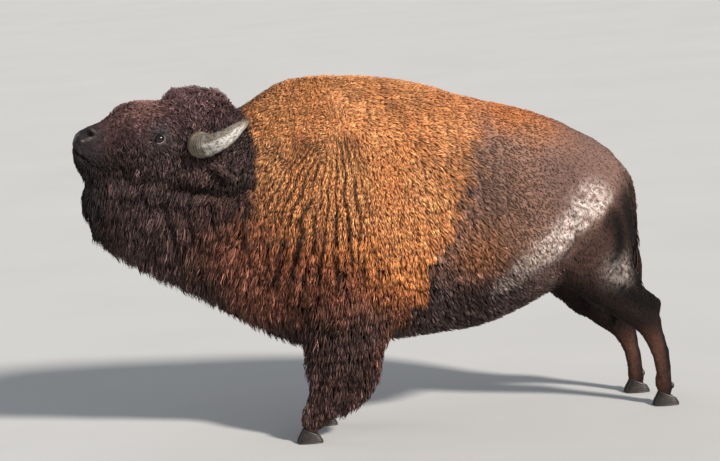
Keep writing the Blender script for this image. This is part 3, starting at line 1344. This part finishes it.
@dataclass
class Ear:
    """One ear: a leaf rolled open towards the front and below, and the hair on it."""

    name: str
    side: float

    def coat(self, leaf: Surface) -> Surface:
        """Hair all over the ear, lying towards its tip.

        Args:
            leaf: the ear's surface.

        Returns:
            The piece.
        """
        rng = np.random.default_rng(91)
        picks = rng.choice(len(leaf.points) - 2, EAR_LOCKS, replace=False)
        roots, normals = leaf.points[picks], normals_of(leaf.points, leaf.triangles)[picks]
        growth = growth_at(roots)
        growth.lie = np.tile(np.array([0.62, self.side * 0.65, -0.45]), (len(roots), 1))
        growth.length[:], growth.depth[:], growth.width[:], growth.curl[:] = 0.045, 0.014, 0.0042, 0.14
        locks = Locks(roots, normals, growth, 4, rng)
        last = EAR_SIDES - 1.0
        unwrap = np.stack([0.02 + 0.96 * ((picks // EAR_SIDES) / last),
                           0.02 + 0.96 * (picks % EAR_SIDES) / last], axis=1)
        return locks.surface(f"{self.name}_coat", locks.lines(None), markings(roots), unwrap)

    def surface(self) -> Surface:
        """The ear's leaf.

        Returns:
            The piece.
        """
        rows = smooth_rows(EAR, EAR_SIDES)
        rows[:, 1] *= self.side
        turn, fore, across, run = swept(rows, np.array([1.0, 0.0, 0.0]), EAR_SIDES)
        wide = np.cos(turn)[None] * rows[:, 4:5] * 0.9
        bowl = np.where(np.sin(turn) < 0.0, -0.25, 1.0)[None] * np.abs(np.sin(turn))[None]
        thick = bowl * rows[:, 3:4] * 0.85 - 0.35 * rows[:, 3:4] * (1.0 - np.abs(np.cos(turn)))[None]
        places = rows[:, None, :3] + wide[..., None] * across[:, None] + thick[..., None] * fore[:, None]
        points, triangles = tube(places)
        return Surface(f"{self.name}_leaf", points, facing_out(points, triangles), markings(points) * 0.8)


@dataclass
class Foot:
    """The two claws and two dewclaws of one foot."""

    name: str
    side: float
    fore: bool

    def surface(self) -> Surface:
        """The foot's horn parts as one surface.

        Returns:
            The piece.
        """
        stagger, still = (FORE_STAGGER, FORE_STILL) if self.fore else (HIND_STAGGER, HIND_STILL)
        shift = float(shift_of(np.array(HOOF_TOP), stagger, still)) if self.side > 0 else 0.0
        foot_x = FOOT_X["fore" if self.fore else "hind"] + shift
        turn = circle(CLAW_SIDES)
        share = np.concatenate([[0.0, 0.012], np.linspace(0.06, 0.96, 22), [1.0]])[:, None]
        cos = np.sign(np.cos(turn)) * np.abs(np.cos(turn)) ** (2 / 2.2)
        sin = np.sign(np.sin(turn)) * np.abs(np.sin(turn)) ** (2 / 2.3)
        forms = []
        for outer in (-self.side, self.side):
            coronet = CORONET - CORONET_FALL * np.cos(turn)
            wall = np.interp(share, (0.0, 0.012, 0.5, 0.93, 1.0), (0.975, 1.0, 0.915, 0.8, 0.7))
            wall = wall * (1.0 + 0.007 * np.sin(share * 30.0))
            taper = 1.0 - 0.2 * ramp(share, 0.2, 1.0)
            x = foot_x + 0.011 * share - 0.003 + CLAW_HALF_LENGTH * wall * taper * cos
            narrow = 1.0 + 0.13 * np.cos(turn)
            y = (LEG_SPREAD * self.side + outer * CLAW_APART + CLAW_HALF_WIDTH * wall * sin * narrow
                 + outer * 0.006 * np.cos(turn))
            forms.append(tube(np.stack(np.broadcast_arrays(x, y, share * coronet), axis=2)))
            tilt = np.linspace(0.0, math.pi, 16)[1:-1, None]
            ball = np.stack(np.broadcast_arrays(np.sin(tilt) * np.cos(turn), np.sin(tilt) * np.sin(turn),
                                                np.cos(tilt)), axis=2)
            behind = 0.038 if self.fore else 0.032
            aside = LEG_SPREAD * self.side + outer * DEWCLAW_APART
            middle = np.array([foot_x + behind, aside, DEWCLAW_HEIGHT])
            forms.append(tube(middle + ball * np.array(DEWCLAW)))
        starts = np.cumsum([0] + [len(points) for points, _ in forms])
        faces = [facing_out(points - points.mean(axis=0), triangles) + start
                 for (points, triangles), start in zip(forms, starts)]
        points = np.concatenate([points for points, _ in forms])
        colour = mixed(srgb(20, 17, 16), srgb(46, 38, 33), 0.5 + 0.5 * ripple(points, 0.03, 41))
        colour = mixed(colour, srgb(66, 56, 47), 0.6 * (1.0 - ramp(points[:, 2], 0.0, 0.012)))
        return Surface(self.name, points, np.concatenate(faces), colour)


# ---------------- the coat
FAR = 9.0          # further than any root
FIRST_SEED = 101   # of the patches' own random draws


@dataclass(frozen=True)
class Patch:
    """One coat piece: the box its roots lie in, the bone it is unwrapped round, its locks' rings."""

    name: str
    slot: str
    low: Spot
    high: Spot
    bone: Bend
    segments: int


def pair(name: str, slot: str, x: tuple[float, float], z: tuple[float, float],
         bone: Bend, segments: int) -> tuple[Patch, ...]:
    """The left and right patches of one kind, with x and z as their boxes' spans."""
    return tuple(Patch(f"{side}_{name}", slot, (x[0], min(way * FAR, 0.0), z[0]),
                       (x[1], max(way * FAR, 0.0), z[1]), bone, segments) for side, way in SIDES.items())


TRUNK_BONE = ((-0.75, 0, 1.15), (0.5, 0, 1.05), (1.25, 0, 1.0))
HEAD_BONE = ((-1.44, 0, 1.49), (-0.6, 0, 1.42))
DOWN_BONE = ((0.0, 0, 1.0), (0.0, 0, 0.0))
TAIL_BONE = ((1.3, 0, 1.12), (1.32, 0, 0.8))
SWITCH_BONE = ((1.32, 0, 0.85), (1.3, 0, 0.5))
BEARD_BONE = ((-1.2, 0, 1.4), (-1.1, 0, 0.8))
THROAT_BONE = ((-0.8, 0, 1.3), (-0.8, 0, 0.7))
PATCHES = (
    Patch("switch_coat", "mane", (1.22, -0.08, 0.0), (FAR, 0.08, 0.84), SWITCH_BONE, 4),
    Patch("tail_coat", "short_coat", (1.285, -0.05, 0.84), (FAR, 0.05, 1.12), TAIL_BONE, 3),
    Patch("bonnet_coat", "head_wool", (-0.98, -FAR, 1.675), (-0.60, FAR, FAR), HEAD_BONE, 4),
    Patch("face_coat", "head_wool", (-FAR, -FAR, 1.36), (-0.98, FAR, FAR), HEAD_BONE, 3),
    Patch("cheek_coat", "head_wool", (-0.98, -FAR, 1.28), (-0.66, FAR, 1.675), HEAD_BONE, 3),
    Patch("beard_coat", "mane", (-FAR, -FAR, 0.0), (-0.98, FAR, 1.36), BEARD_BONE, 4),
    Patch("throat_coat", "mane", (-0.98, -FAR, 0.0), (-0.66, FAR, 1.28), THROAT_BONE, 4),
    *pair("cape_front", "cape", (-0.66, -0.04), (1.02, FAR), TRUNK_BONE, 2),
    *pair("cape_back", "cape", (-0.04, 0.60), (0.90, FAR), TRUNK_BONE, 2),
    *pair("shoulder_coat", "mane", (-0.66, 0.27), (0.0, 1.02), DOWN_BONE, 3),
    Patch("belly_coat", "short_coat", (0.27, -FAR, 0.0), (0.92, FAR, 0.90), TRUNK_BONE, 2),
    *pair("rear_coat", "short_coat", (0.27, FAR), (0.0, FAR), TRUNK_BONE, 2),
)


@dataclass
class Locks:
    """Many locks of hair: roots, the skin's normals there and the growth."""

    roots: Array
    normals: Array
    growth: Growth
    segments: int
    rng: np.random.Generator

    def lie(self) -> Array:
        """The hair's direction laid along the skin and turned a little at random.

        Returns:
            Unit directions square to the normals.
        """
        flow = self.growth.lie
        flow = unit(flow - (flow * self.normals).sum(1, keepdims=True) * self.normals)
        across = np.cross(self.normals, flow)
        turn = 0.38 * ripple(self.roots, 0.1, 51) + 0.22 * ripple(self.roots, 0.035, 52)
        turn = turn * (0.5 + 2.5 * self.growth.curl)
        turn = turn + self.rng.normal(0.0, 1.0, len(self.roots)) * (0.08 + 1.3 * self.growth.curl)
        return flow * np.cos(turn)[:, None] + across * np.sin(turn)[:, None]

    def grouped(self, length: Array) -> None:
        """Sort the locks into small and large clumps: the cells of two warped grids.

        The cells are longer in the way the hair lies.

        Args:
            length: the locks' lengths.
        """
        base = 0.01 + 0.2 * float(np.median(length))
        narrow = 1.0 - 0.55 * np.abs(unit(self.growth.lie).mean(axis=0))
        self.clumps, self.tuft, self.rim = [], 0.0, 0.0
        for size, seed in ((base, 53), (2.4 * base, 73)):
            warp = np.stack([ripple(self.roots, size * 2.2, seed + k) for k in range(3)], axis=1)
            cells = np.floor((self.roots + 0.45 * size * warp) * narrow / size).astype(np.int64)
            label = np.unique(cells, axis=0, return_inverse=True)[1].ravel()
            number = np.bincount(label)
            self.clumps.append((label, number))
            self.tuft = self.tuft + 0.75 * self.rng.normal(0.0, 1.0, len(number))[label]
            middle = np.stack([np.bincount(label, row) / number for row in self.roots.T], axis=1)
            away = np.linalg.norm((self.roots - middle[label]) * narrow, axis=1)
            self.rim = np.maximum(self.rim, ramp(away, 0.22 * size, 0.62 * size))

    def lines(self, shell: BVHTree | None) -> Array:
        """The middle line of each lock, from its root to its tip.

        A lock leaves the skin steeply, bends over to the height of the coat, sinks under its own
        weight and winds a little. Neighbours are drawn together towards their tips, and tips
        that pass the solids' surface are brought back to it.

        Args:
            shell: the solids' outer surface, or None where nothing holds the tips in.

        Returns:
            An array of locks, places along a lock, and x, y, z.
        """
        count, steps = len(self.roots), self.segments
        growth, rng = self.growth, self.rng
        flow = self.lie()
        length = growth.length * rng.uniform(0.75, 1.2, count)
        self.grouped(length)
        lift = 2.1 * growth.depth * rng.uniform(0.75, 1.15, count) * np.exp(0.16 * self.tuft) / length
        lift = np.clip(lift, 0.05, 1.4)
        down = np.array([0.0, 0.0, -1.0])
        line = np.empty((count, steps + 1, 3))
        line[:, 0] = self.roots - 0.0025 * self.normals
        for step in range(steps):
            share = (step + 0.5) / steps
            tilt = (lift * (1.0 - share))[:, None]
            heading = unit(flow * np.cos(tilt) + self.normals * np.sin(tilt)
                           + down * (growth.droop * share)[:, None])
            line[:, step + 1] = line[:, step] + heading * (length / steps)[:, None]
        across = unit(np.cross(self.normals, flow))
        share = np.linspace(0.0, 1.0, steps + 1)[None]
        winding = rng.uniform(0.5, 1.1, count)[:, None] * share * 2.0 * math.pi
        winding = winding + rng.uniform(0.0, 2.0 * math.pi, count)[:, None]
        swing = (growth.curl * length)[:, None] * share**0.8
        line = line + (swing * np.cos(winding))[..., None] * across[:, None]
        line = line + (0.6 * swing * np.sin(winding))[..., None] * self.normals[:, None]
        line = self.gathered(line)
        return self.kept_in(line, shell, length) if shell else line

    def gathered(self, line: Array) -> Array:
        """Locks drawn towards the mean line of their clump, more so at the tip.

        Args:
            line: the locks' middle lines.

        Returns:
            The drawn lines.
        """
        share = np.linspace(0.0, 1.0, line.shape[1]) ** 1.3
        pull = self.growth.clump[:, None] * share[None] * self.rng.uniform(0.6, 1.0, len(line))[:, None]
        for (label, number), part in zip(self.clumps, (1.0, 0.45)):
            mean = np.stack([[np.bincount(label, line[:, k, axis]) / number for axis in range(3)]
                             for k in range(line.shape[1])])
            line = line + part * pull[..., None] * (np.transpose(mean, (2, 0, 1))[label] - line)
        return line

    def kept_in(self, line: Array, shell: BVHTree, length: Array) -> Array:
        """Locks whose tips pass the outer surface, shortened and then laid back to it.

        Args:
            line: the locks' middle lines.
            shell: the solids' outer surface.
            length: the locks' lengths.

        Returns:
            The kept lines.
        """
        ragged = self.rng.uniform(0.0, 0.18, len(line)) + ramp(self.tuft, -0.5, 1.5) * self.growth.clump * (
            0.20 + 0.22 * ramp(self.growth.depth, 0.036, 0.055))
        stray = (self.rng.uniform(0.0, 1.0, len(line)) < 0.1) * ramp(self.growth.depth, 0.02, 0.04)
        allowed = OUTSIDE + STRAY * stray - ragged * self.growth.depth * (1.0 - stray)
        for shorten in (True, False):
            hits = [shell.find_nearest(Vector(tip)) for tip in line[:, -1]]
            spot = np.array([hit[0] for hit in hits])
            facing = np.array([hit[1] for hit in hits])
            over = ((line[:, -1] - spot) * facing).sum(1) - allowed
            over = np.clip(over, 0.0, None)
            if shorten:
                scale = 1.0 - np.clip(0.9 * over / length, 0.0, 0.62)
                line = line[:, :1] + (line - line[:, :1]) * scale[:, None, None]
            else:
                share = np.linspace(0.0, 1.0, line.shape[1])[None, :, None] ** 2
                line = line - share * np.minimum(over, 0.6 * length)[:, None, None] * facing[:, None]
        return line

    def surface(self, name: str, line: Array, base: Array, unwrap: Array) -> Surface:
        """The locks as three-sided tapering prisms, closed at both ends.

        Args:
            name: the piece's name.
            line: the locks' middle lines.
            base: the colour at each root.
            unwrap: each root's place on the bake map, from 0 to 1.

        Returns:
            The joined surface.
        """
        count, steps = len(line), self.segments
        growth, rng = self.growth, self.rng
        along = unit(np.gradient(line, axis=1))
        side = unit(np.cross(np.broadcast_to(self.normals[:, None], along.shape), along))
        up = np.cross(along, side)
        roll = rng.normal(0.0, 0.5, count)[:, None, None]
        side, up = side * np.cos(roll) + up * np.sin(roll), up * np.cos(roll) - side * np.sin(roll)
        share = np.linspace(0.0, 1.0, steps + 1)
        taper = np.interp(share, (0.0, 0.3, 0.65, 1.0), (0.7, 1.0, 0.78, 0.0))
        half = (0.5 * growth.width * rng.uniform(0.75, 1.25, count))[:, None] * taper[None]
        turn = np.array([math.pi / 2, math.pi / 2 + 2 * math.pi / 3, math.pi / 2 + 4 * math.pi / 3])
        size = half[:, :-1, None, None]
        ring = (np.cos(turn)[None, None, :, None] * side[:, :-1, None] * size * LOCK_WIDE
                + np.sin(turn)[None, None, :, None] * up[:, :-1, None] * size * LOCK_THICK)
        rings = (line[:, :-1, None] + ring).reshape(count, steps * 3, 3)
        points = np.concatenate([rings, line[:, -1:]], axis=1)
        faces, places = self.template()
        triangles = (faces[None] + (np.arange(count) * points.shape[1])[:, None, None]).reshape(-1, 3)

        spread = np.concatenate([np.repeat(share[:-1], 3), [1.0]])
        deep = 1.0 - ramp(base @ np.array([0.3, 0.6, 0.1]), 0.04, 0.22)
        shade = rng.normal(0.06, 1.0, count) * (0.24 + 0.26 * deep) + (0.14 + 0.12 * deep) * self.tuft
        shade = shade - (0.62 + 0.3 * deep) * self.rim * growth.clump
        shade = shade - np.where(rng.uniform(0.0, 1.0, count) < 0.15, 1.0, 0.0)
        warm = rng.normal(0.0, 0.03, count) - 0.06 * np.minimum(shade, 0.0)
        gain = np.interp(spread, (0.0, 0.35, 0.8, 1.0), (0.4, 0.84, 1.12, 1.22))
        dark = gloom(folded(line.reshape(-1, 3))).reshape(count, steps + 1)
        dark = 1.0 - 0.92 * np.concatenate([np.repeat(dark[:, :-1], 3, axis=1), dark[:, -1:]], axis=1)
        colour = base[:, None] * (gain[None] * dark * np.exp(shade)[:, None])[..., None]
        colour = colour * np.stack([np.exp(warm), np.ones(count), np.exp(-warm)], axis=1)[:, None]
        bake = unwrap[:, None] + PATCH * (places[None] - 0.5)
        lock = places[None] + rng.uniform(0.0, 40.0, (count, 1, 2)).round(2)
        return Surface(name, points.reshape(-1, 3), triangles, np.clip(colour, 0.001, 0.98).reshape(-1, 3),
                       {"OFBake": bake.reshape(-1, 2), "Lock": lock.reshape(-1, 2)})

    def template(self) -> tuple[Array, Array]:
        """One lock's triangles and each corner's place on its own patch.

        Returns:
            Triangles, and two numbers from 0 to 1 for each corner of each triangle.
        """
        steps = self.segments
        faces, places = [], []
        for k in range(steps - 1):
            for j in range(3):
                a, b = k * 3 + j, k * 3 + (j + 1) % 3
                low, high = 0.08 + 0.92 * k / steps, 0.08 + 0.92 * (k + 1) / steps
                left, right = j / 3, (j + 1) / 3
                faces += [(a, b, b + 3), (a, b + 3, a + 3)]
                places += [(left, low), (right, low), (right, high)]
                places += [(left, low), (right, high), (left, high)]
        low = 0.08 + 0.92 * (steps - 1) / steps
        for j in range(3):
            faces.append(((steps - 1) * 3 + j, (steps - 1) * 3 + (j + 1) % 3, steps * 3))
            places += [(j / 3, low), ((j + 1) / 3, low), ((j + 0.5) / 3, 1.0)]
        faces.append((0, 2, 1))
        places += [(0.0, 0.07), (0.5, 0.0), (1.0, 0.07)]
        return np.array(faces), np.array(places)


@dataclass
class Coat:
    """All hair of the animal, rooted on its skin."""

    skin: Skin

    def scattered(self) -> tuple[Array, Array]:
        """Roots spread over the skin by the coat's density, evenly along the skin's own order.

        Returns:
            Places and normals.
        """
        rng = np.random.default_rng(7)
        points, triangles = self.skin.points, self.skin.triangles
        a, b, c = (points[triangles[:, i]] for i in range(3))
        area = 0.5 * np.linalg.norm(np.cross(b - a, c - a), axis=1)
        middle = (a + b + c) / 3.0
        wanted = area * growth_at(middle).density * self.bare(middle)
        total = np.cumsum(wanted)
        count = int(total[-1])
        picks = (np.arange(count) + rng.uniform(0.0, 1.0, count)) * total[-1] / count
        face = np.clip(np.searchsorted(total, picks), 0, len(triangles) - 1)
        u, v = rng.uniform(0.0, 1.0, (2, count))
        flip = u + v > 1.0
        u, v = np.where(flip, 1.0 - u, u)[:, None], np.where(flip, 1.0 - v, v)[:, None]
        place = a[face] + u * (b - a)[face] + v * (c - a)[face]
        n = self.skin.normals
        t = triangles[face]
        normal = unit(n[t[:, 0]] * (1 - u - v) + n[t[:, 1]] * u + n[t[:, 2]] * v)
        return place, normal

    def bare(self, places: Array) -> Array:
        """One where hair grows and nought in the eyes, under the horns, on the nose and soles.

        Args:
            places: places on the skin.

        Returns:
            Shares from 0 to 1.
        """
        keep = np.ones(len(places))
        for site in self.skin.eyes:
            along, up, out = site.flat(places)
            keep = np.where((site.ring(along, up) < BARE_LIDS) & (np.abs(out) < 0.05), 0.0, keep)
        near = folded(places)
        keep *= 1.0 - 0.97 * nose_pad(near)
        horn = np.array(HORN)
        away, run = to_path(near, horn[:, :3])
        thick = HORN_BASE * 1.02 * np.interp(run, np.linspace(0, 1, len(horn)), horn[:, 3])
        keep = np.where(away < thick, 0.0, keep)
        return np.where(places[:, 2] < BARE_SOLE, 0.0, keep)

    def unwrapped(self, places: Array, bone: tuple) -> Array:
        """Each root's place on its piece's bake map: the run along the bone, and the turn round it.

        Args:
            places: roots of one piece.
            bone: the line that the piece is unwrapped round.

        Returns:
            Two numbers from 0 to 1 for each root, filling the map.
        """
        start, end = np.array(bone[0], float), np.array(bone[-1], float)
        _, run = to_path(places, bone)
        axis = unit(end - start)
        run = run + 0.2 * ((places - start) @ axis) / np.linalg.norm(end - start)
        aside = unit(np.cross(axis, [0.0, 0.0, 1.0]) if abs(axis[2]) < 0.8 else np.array([0.0, 1.0, 0.0]))
        over = np.cross(aside, axis)
        middle = start + ((places - start) @ axis)[:, None] * axis
        turn = np.arctan2((places - middle) @ aside, (places - middle) @ over)
        both = np.stack([run, turn], axis=1)
        low, high = both.min(axis=0), both.max(axis=0)
        return PATCH + (1.0 - 2.0 * PATCH) * (both - low) / (high - low)

    def build(self, finish: dict[str, Material]) -> None:
        """Grow every patch of the coat and put it in the scene.

        Args:
            finish: the material of each slot.
        """
        shell = BVHTree.FromPolygons(self.skin.shell.tolist(), self.skin.triangles.tolist())
        places, normals = self.scattered()
        left = np.ones(len(places), bool)
        for seed, patch in enumerate(PATCHES, FIRST_SEED):
            inside = ((places >= np.array(patch.low)) & (places < np.array(patch.high))).all(axis=1) & left
            left &= ~inside
            roots = places[inside]
            rng = np.random.default_rng(seed)
            locks = Locks(roots, normals[inside], growth_at(roots), patch.segments, rng)
            line = locks.lines(shell)
            surface = locks.surface(patch.name, line, markings(roots), self.unwrapped(roots, patch.bone))
            surface.build(finish[patch.slot], patch.slot)
        log.info("roots left over: %d of %d", int(left.sum()), len(places))


# ---------------- finishes
@dataclass
class Graph:
    """A new material's node tree, with short ways to add and join nodes."""

    name: str

    def __post_init__(self) -> None:
        """Make the material."""
        self.material = bpy.data.materials.new(self.name)
        self.material.use_nodes = True

    @property
    def place(self) -> Socket:
        """The piece's own coordinates."""
        return self.add("ShaderNodeTexCoord").outputs["Object"]

    def attribute(self, name: str, output: str = "Fac") -> Socket:
        """A value that the piece holds at each point."""
        return self.add("ShaderNodeAttribute", attribute_name=name).outputs[output]

    def add(self, kind: str, **settings: object) -> bpy.types.Node:
        """A new node.

        Args:
            kind: the node's type.
            settings: its properties, or with a leading capital its inputs' values or sources.

        Returns:
            The node.
        """
        node = self.material.node_tree.nodes.new(kind)
        for key, value in settings.items():
            if key[0].islower():
                setattr(node, key, value)
        for key, value in settings.items():
            if not key[0].islower():
                self.feed(node.inputs[key.replace("_", " ")], value)
        return node

    def feed(self, socket: Socket, value: object) -> None:
        """Give a socket a constant, or a link when the value is another socket.

        Args:
            socket: the input.
            value: a number, a tuple or an output socket.
        """
        if isinstance(value, Socket):
            self.material.node_tree.links.new(value, socket)
        else:
            socket.default_value = value

    def noise(self, vector: Socket, scale: float, detail: float = 3.0) -> Socket:
        """A noise texture."""
        return self.add("ShaderNodeTexNoise", Vector=vector, Scale=scale, Detail=detail,
                        Roughness=0.6).outputs["Fac"]

    def stretched(self, vector: Socket, scale: Spot) -> Socket:
        """Coordinates scaled along each axis."""
        return self.add("ShaderNodeMapping", Vector=vector, Scale=scale).outputs["Vector"]

    def mapped(self, value: Socket, span: tuple[float, float, float, float]) -> Socket:
        """A number carried from one range to another, as from low, from high, to low, to high."""
        return self.add("ShaderNodeMapRange", Value=value, From_Min=span[0], From_Max=span[1],
                        To_Min=span[2], To_Max=span[3]).outputs["Result"]

    def shaded(self, colour: Socket, factor: Socket) -> Socket:
        """A colour multiplied by a number."""
        return self.add("ShaderNodeVectorMath", operation="SCALE", Vector=colour,
                        Scale=factor).outputs["Vector"]

    def bump(self, height: Socket, strength: float, distance: float, under: Socket | None = None) -> Socket:
        """A bumped normal.

        Args:
            height: the height.
            strength: its share.
            distance: the real height of one.
            under: a coarser bump below it.

        Returns:
            The normal.
        """
        below = {} if under is None else {"Normal": under}
        return self.add("ShaderNodeBump", Height=height, Strength=strength, Distance=distance,
                        **below).outputs["Normal"]

    def finish(self, **inputs: object) -> Material:
        """Feed the shader.

        Args:
            inputs: its inputs, with _ for a space.

        Returns:
            The material.
        """
        shader = self.material.node_tree.nodes["Principled BSDF"]
        for key, value in inputs.items():
            self.feed(shader.inputs[key.replace("_", " ")], value)
        return self.material


@dataclass(frozen=True)
class HairFinish:
    """Finish of a kind of hair: streaks along each lock, a soft sheen and a fine bump."""

    name: str
    roughness: float = 0.72
    sheen: float = 0.25
    streak: float = 0.35
    bump: float = 0.5
    specular: float = 0.45

    def material(self) -> Material:
        """Build the material.

        Returns:
            The material; it reads the locks' colour and the map Lock.
        """
        graph = Graph(self.name)
        colour = graph.attribute("Coat", "Color")
        lock = graph.add("ShaderNodeUVMap", uv_map="Lock").outputs["UV"]
        streak = graph.noise(graph.stretched(lock, (14.0, 1.4, 1.0)), 1.0, 2.0)
        shade = graph.mapped(streak, (0.3, 0.7, 1.0 - self.streak, 1.0 + self.streak))
        rough = graph.mapped(streak, (0.3, 0.7, self.roughness + 0.08, self.roughness - 0.08))
        return graph.finish(Base_Color=graph.shaded(colour, shade), Roughness=rough,
                            Sheen_Weight=self.sheen, Sheen_Roughness=0.45,
                            Sheen_Tint=(1.0, 0.86, 0.74, 1.0), Specular_IOR_Level=self.specular,
                            Normal=graph.bump(streak, self.bump, 0.0012))


@dataclass(frozen=True)
class HideFinish:
    """Finish of the skin: short fur as fine strokes, moist where the nose and lid rims are."""

    name: str

    def material(self) -> Material:
        """Build the material.

        Returns:
            The material; it reads the skin's colour and the value Moist.
        """
        graph = Graph(self.name)
        colour = graph.attribute("Coat", "Color")
        moist = graph.attribute("Moist")
        place = graph.place
        stroke = graph.noise(graph.stretched(place, (170.0, 420.0, 150.0)), 1.0, 3.0)
        tuft = graph.noise(graph.stretched(place, (34.0, 60.0, 30.0)), 1.0, 2.0)
        pebble = graph.add("ShaderNodeTexVoronoi", Vector=place, Scale=330.0).outputs["Distance"]
        shade = graph.mapped(stroke, (0.3, 0.7, 0.62, 1.3))
        broad = graph.mapped(tuft, (0.3, 0.7, 0.85, 1.12))
        colour = graph.shaded(graph.shaded(colour, shade), broad)
        rough = graph.mapped(moist, (0.0, 1.0, 0.78, 0.26))
        fur = graph.bump(stroke, 0.55, 0.002, graph.bump(tuft, 0.5, 0.006))
        wet = graph.add("ShaderNodeMix", data_type="VECTOR", Factor=moist)
        graph.feed(wet.inputs[4], fur)
        graph.feed(wet.inputs[5], graph.bump(pebble, 0.35, 0.0012))
        return graph.finish(Base_Color=colour, Roughness=rough, Sheen_Weight=0.01, Sheen_Roughness=0.5,
                            Specular_IOR_Level=0.12, Normal=wet.outputs[1])


@dataclass(frozen=True)
class HardFinish:
    """Finish of horn, claw or eye: coloured by the piece, with grain along it."""

    name: str
    roughness: float
    grain: Spot
    bump: float
    contrast: float = 0.25
    coat: float = 0.0
    coat_roughness: float = 0.1
    specular: float = 0.5

    def material(self) -> Material:
        """Build the material.

        Returns:
            The material; it reads the piece's colour and object coordinates.
        """
        graph = Graph(self.name)
        colour = graph.attribute("Coat", "Color")
        place = graph.place
        grain = graph.noise(graph.stretched(place, self.grain), 1.0, 4.0)
        shade = graph.mapped(grain, (0.25, 0.75, 1.0 - self.contrast, 1.0 + self.contrast))
        rough = graph.mapped(grain, (0.25, 0.75, 0.8 * self.roughness, 1.2 * self.roughness))
        return graph.finish(Base_Color=graph.shaded(colour, shade), Roughness=rough,
                            Specular_IOR_Level=self.specular, Coat_Weight=self.coat,
                            Coat_Roughness=self.coat_roughness,
                            Normal=graph.bump(grain, self.bump, 0.0015))


def floor_material() -> Material:
    """The studio floor's finish.

    Returns:
        A pale matt material with a faint mottle.
    """
    graph = Graph("studio_floor")
    tone = graph.mapped(graph.noise(graph.place, 0.7, 3.0), (0.3, 0.7, 0.43, 0.455))
    grey = graph.add("ShaderNodeCombineColor", Red=tone, Green=tone, Blue=tone).outputs[0]
    return graph.finish(Base_Color=grey, Roughness=0.85)


# ---------------- the studio
@dataclass
class Studio:
    """Floor, lights and camera."""

    azimuth: float = -10.0
    elevation: float = 8.0
    roll: float = 4.0
    distance: float = 14.0
    target: Spot = (-0.0709, 0.0, 0.985)
    lens: float = 142.857

    def floor(self) -> None:
        """A wide pale floor."""
        mesh = bpy.data.meshes.new("floor")
        half = 150.0
        mesh.from_pydata([(-half, -half, 0), (half, -half, 0), (half, half, 0), (-half, half, 0)], [],
                         [(0, 1, 2, 3)])
        mesh.materials.append(floor_material())
        placed("floor", mesh)

    def lights(self) -> None:
        """A soft warm sun from the camera's right and above, a weak rim light and a pale sky."""
        for name, place, size, strength, colour in (
                ("key", (0.42, -0.75, 0.51), 6.0, 6.2, (1.0, 0.94, 0.86)),
                ("rim", (-0.50, 0.62, 0.60), 25.0, 0.35, (0.90, 0.95, 1.0))):
            data = bpy.data.lights.new(name, "SUN")
            data.angle = math.radians(size)
            data.energy = strength
            data.color = colour
            lamp = placed(name, data)
            lamp.location = Vector(place) * 10.0
            lamp.rotation_euler = Vector(place).to_track_quat("Z", "Y").to_euler()
        world = bpy.data.worlds.new("studio")
        world.use_nodes = True
        background = world.node_tree.nodes["Background"]
        background.inputs["Color"].default_value = (0.9, 0.94, 1.0, 1.0)
        background.inputs["Strength"].default_value = 0.45
        bpy.context.scene.world = world

    def camera(self) -> None:
        """The camera, rolled because the animal stood on a sloping bank."""
        a, e, r = (math.radians(angle) for angle in (self.azimuth, self.elevation, self.roll))
        back = Vector((math.sin(a) * math.cos(e), -math.cos(a) * math.cos(e), math.sin(e)))
        right = (-back).cross(Vector((0.0, 0.0, 1.0))).normalized()
        up = right.cross(-back)
        turned = right * math.cos(r) - up * math.sin(r)
        above = up * math.cos(r) + right * math.sin(r)
        data = bpy.data.cameras.new("camera")
        data.lens = self.lens
        data.sensor_width = 36.0
        data.clip_end = 400.0
        camera = placed("camera", data)
        rotation = Matrix((turned, above, back)).transposed().to_4x4()
        camera.matrix_world = Matrix.Translation(Vector(self.target) + back * self.distance) @ rotation
        bpy.context.scene.camera = camera

    def build(self) -> None:
        """Set up the whole studio."""
        self.camera()
        self.floor()
        self.lights()
        bpy.context.scene.view_settings.view_transform = "Standard"


def main() -> None:
    """Build the dressed animal and its studio."""
    Studio().build()
    hide = HideFinish("hide").material()
    horn = HardFinish("horn_keratin", 0.58, (90.0, 90.0, 90.0), 0.7, 0.34, 0.0, 0.1, 0.3).material()
    hoof = HardFinish("hoof_keratin", 0.45, (40.0, 40.0, 260.0), 0.4, 0.3).material()
    eye = HardFinish("eye_gloss", 0.2, (90.0, 90.0, 90.0), 0.0, 0.1, 0.5, 0.04, 0.25).material()
    hair = {"head_wool": HairFinish("head_wool", 0.48, 0.03, 0.45, 0.7, 0.18).material(),
            "mane": HairFinish("mane_hair", 0.44, 0.03, 0.45, 0.7, 0.17).material(),
            "cape": HairFinish("cape_wool", 0.72, 0.14, 0.45, 0.6, 0.25).material(),
            "short_coat": HairFinish("short_hair", 0.48, 0.02, 0.45, 0.5, 0.13).material()}

    sites = {name: EyeSite.of(name) for name in SIDES}
    skin = Skin(tuple(sites.values()))
    skin.shape()
    skin.build(hide)
    for name, side in SIDES.items():
        eyes = Eye(name, sites[name])
        eyes.ball().build(eye, "eye", (f"{name}_eye",))
        eyes.rim().build(hide, "muzzle_hide")
        Horn(f"{name}_horn_sheath", side).surface().build(horn, "horn", (f"{name}_horn",))
        ear = Ear(f"{name}_ear", side)
        leaf = ear.surface()
        leaf.build(hide, "head_wool", (f"{name}_ear",))
        ear.coat(leaf).build(hair["head_wool"], "head_wool")
        for end in ("fore", "hind"):
            foot = Foot(f"{name}_{end}_foot", side, end == "fore").surface()
            foot.build(hoof, "hoof", (f"{name}_{end}_inner_claw", f"{name}_{end}_outer_claw"))
    Coat(skin).build(hair)
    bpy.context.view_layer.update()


if __name__ == "__main__":
    main()
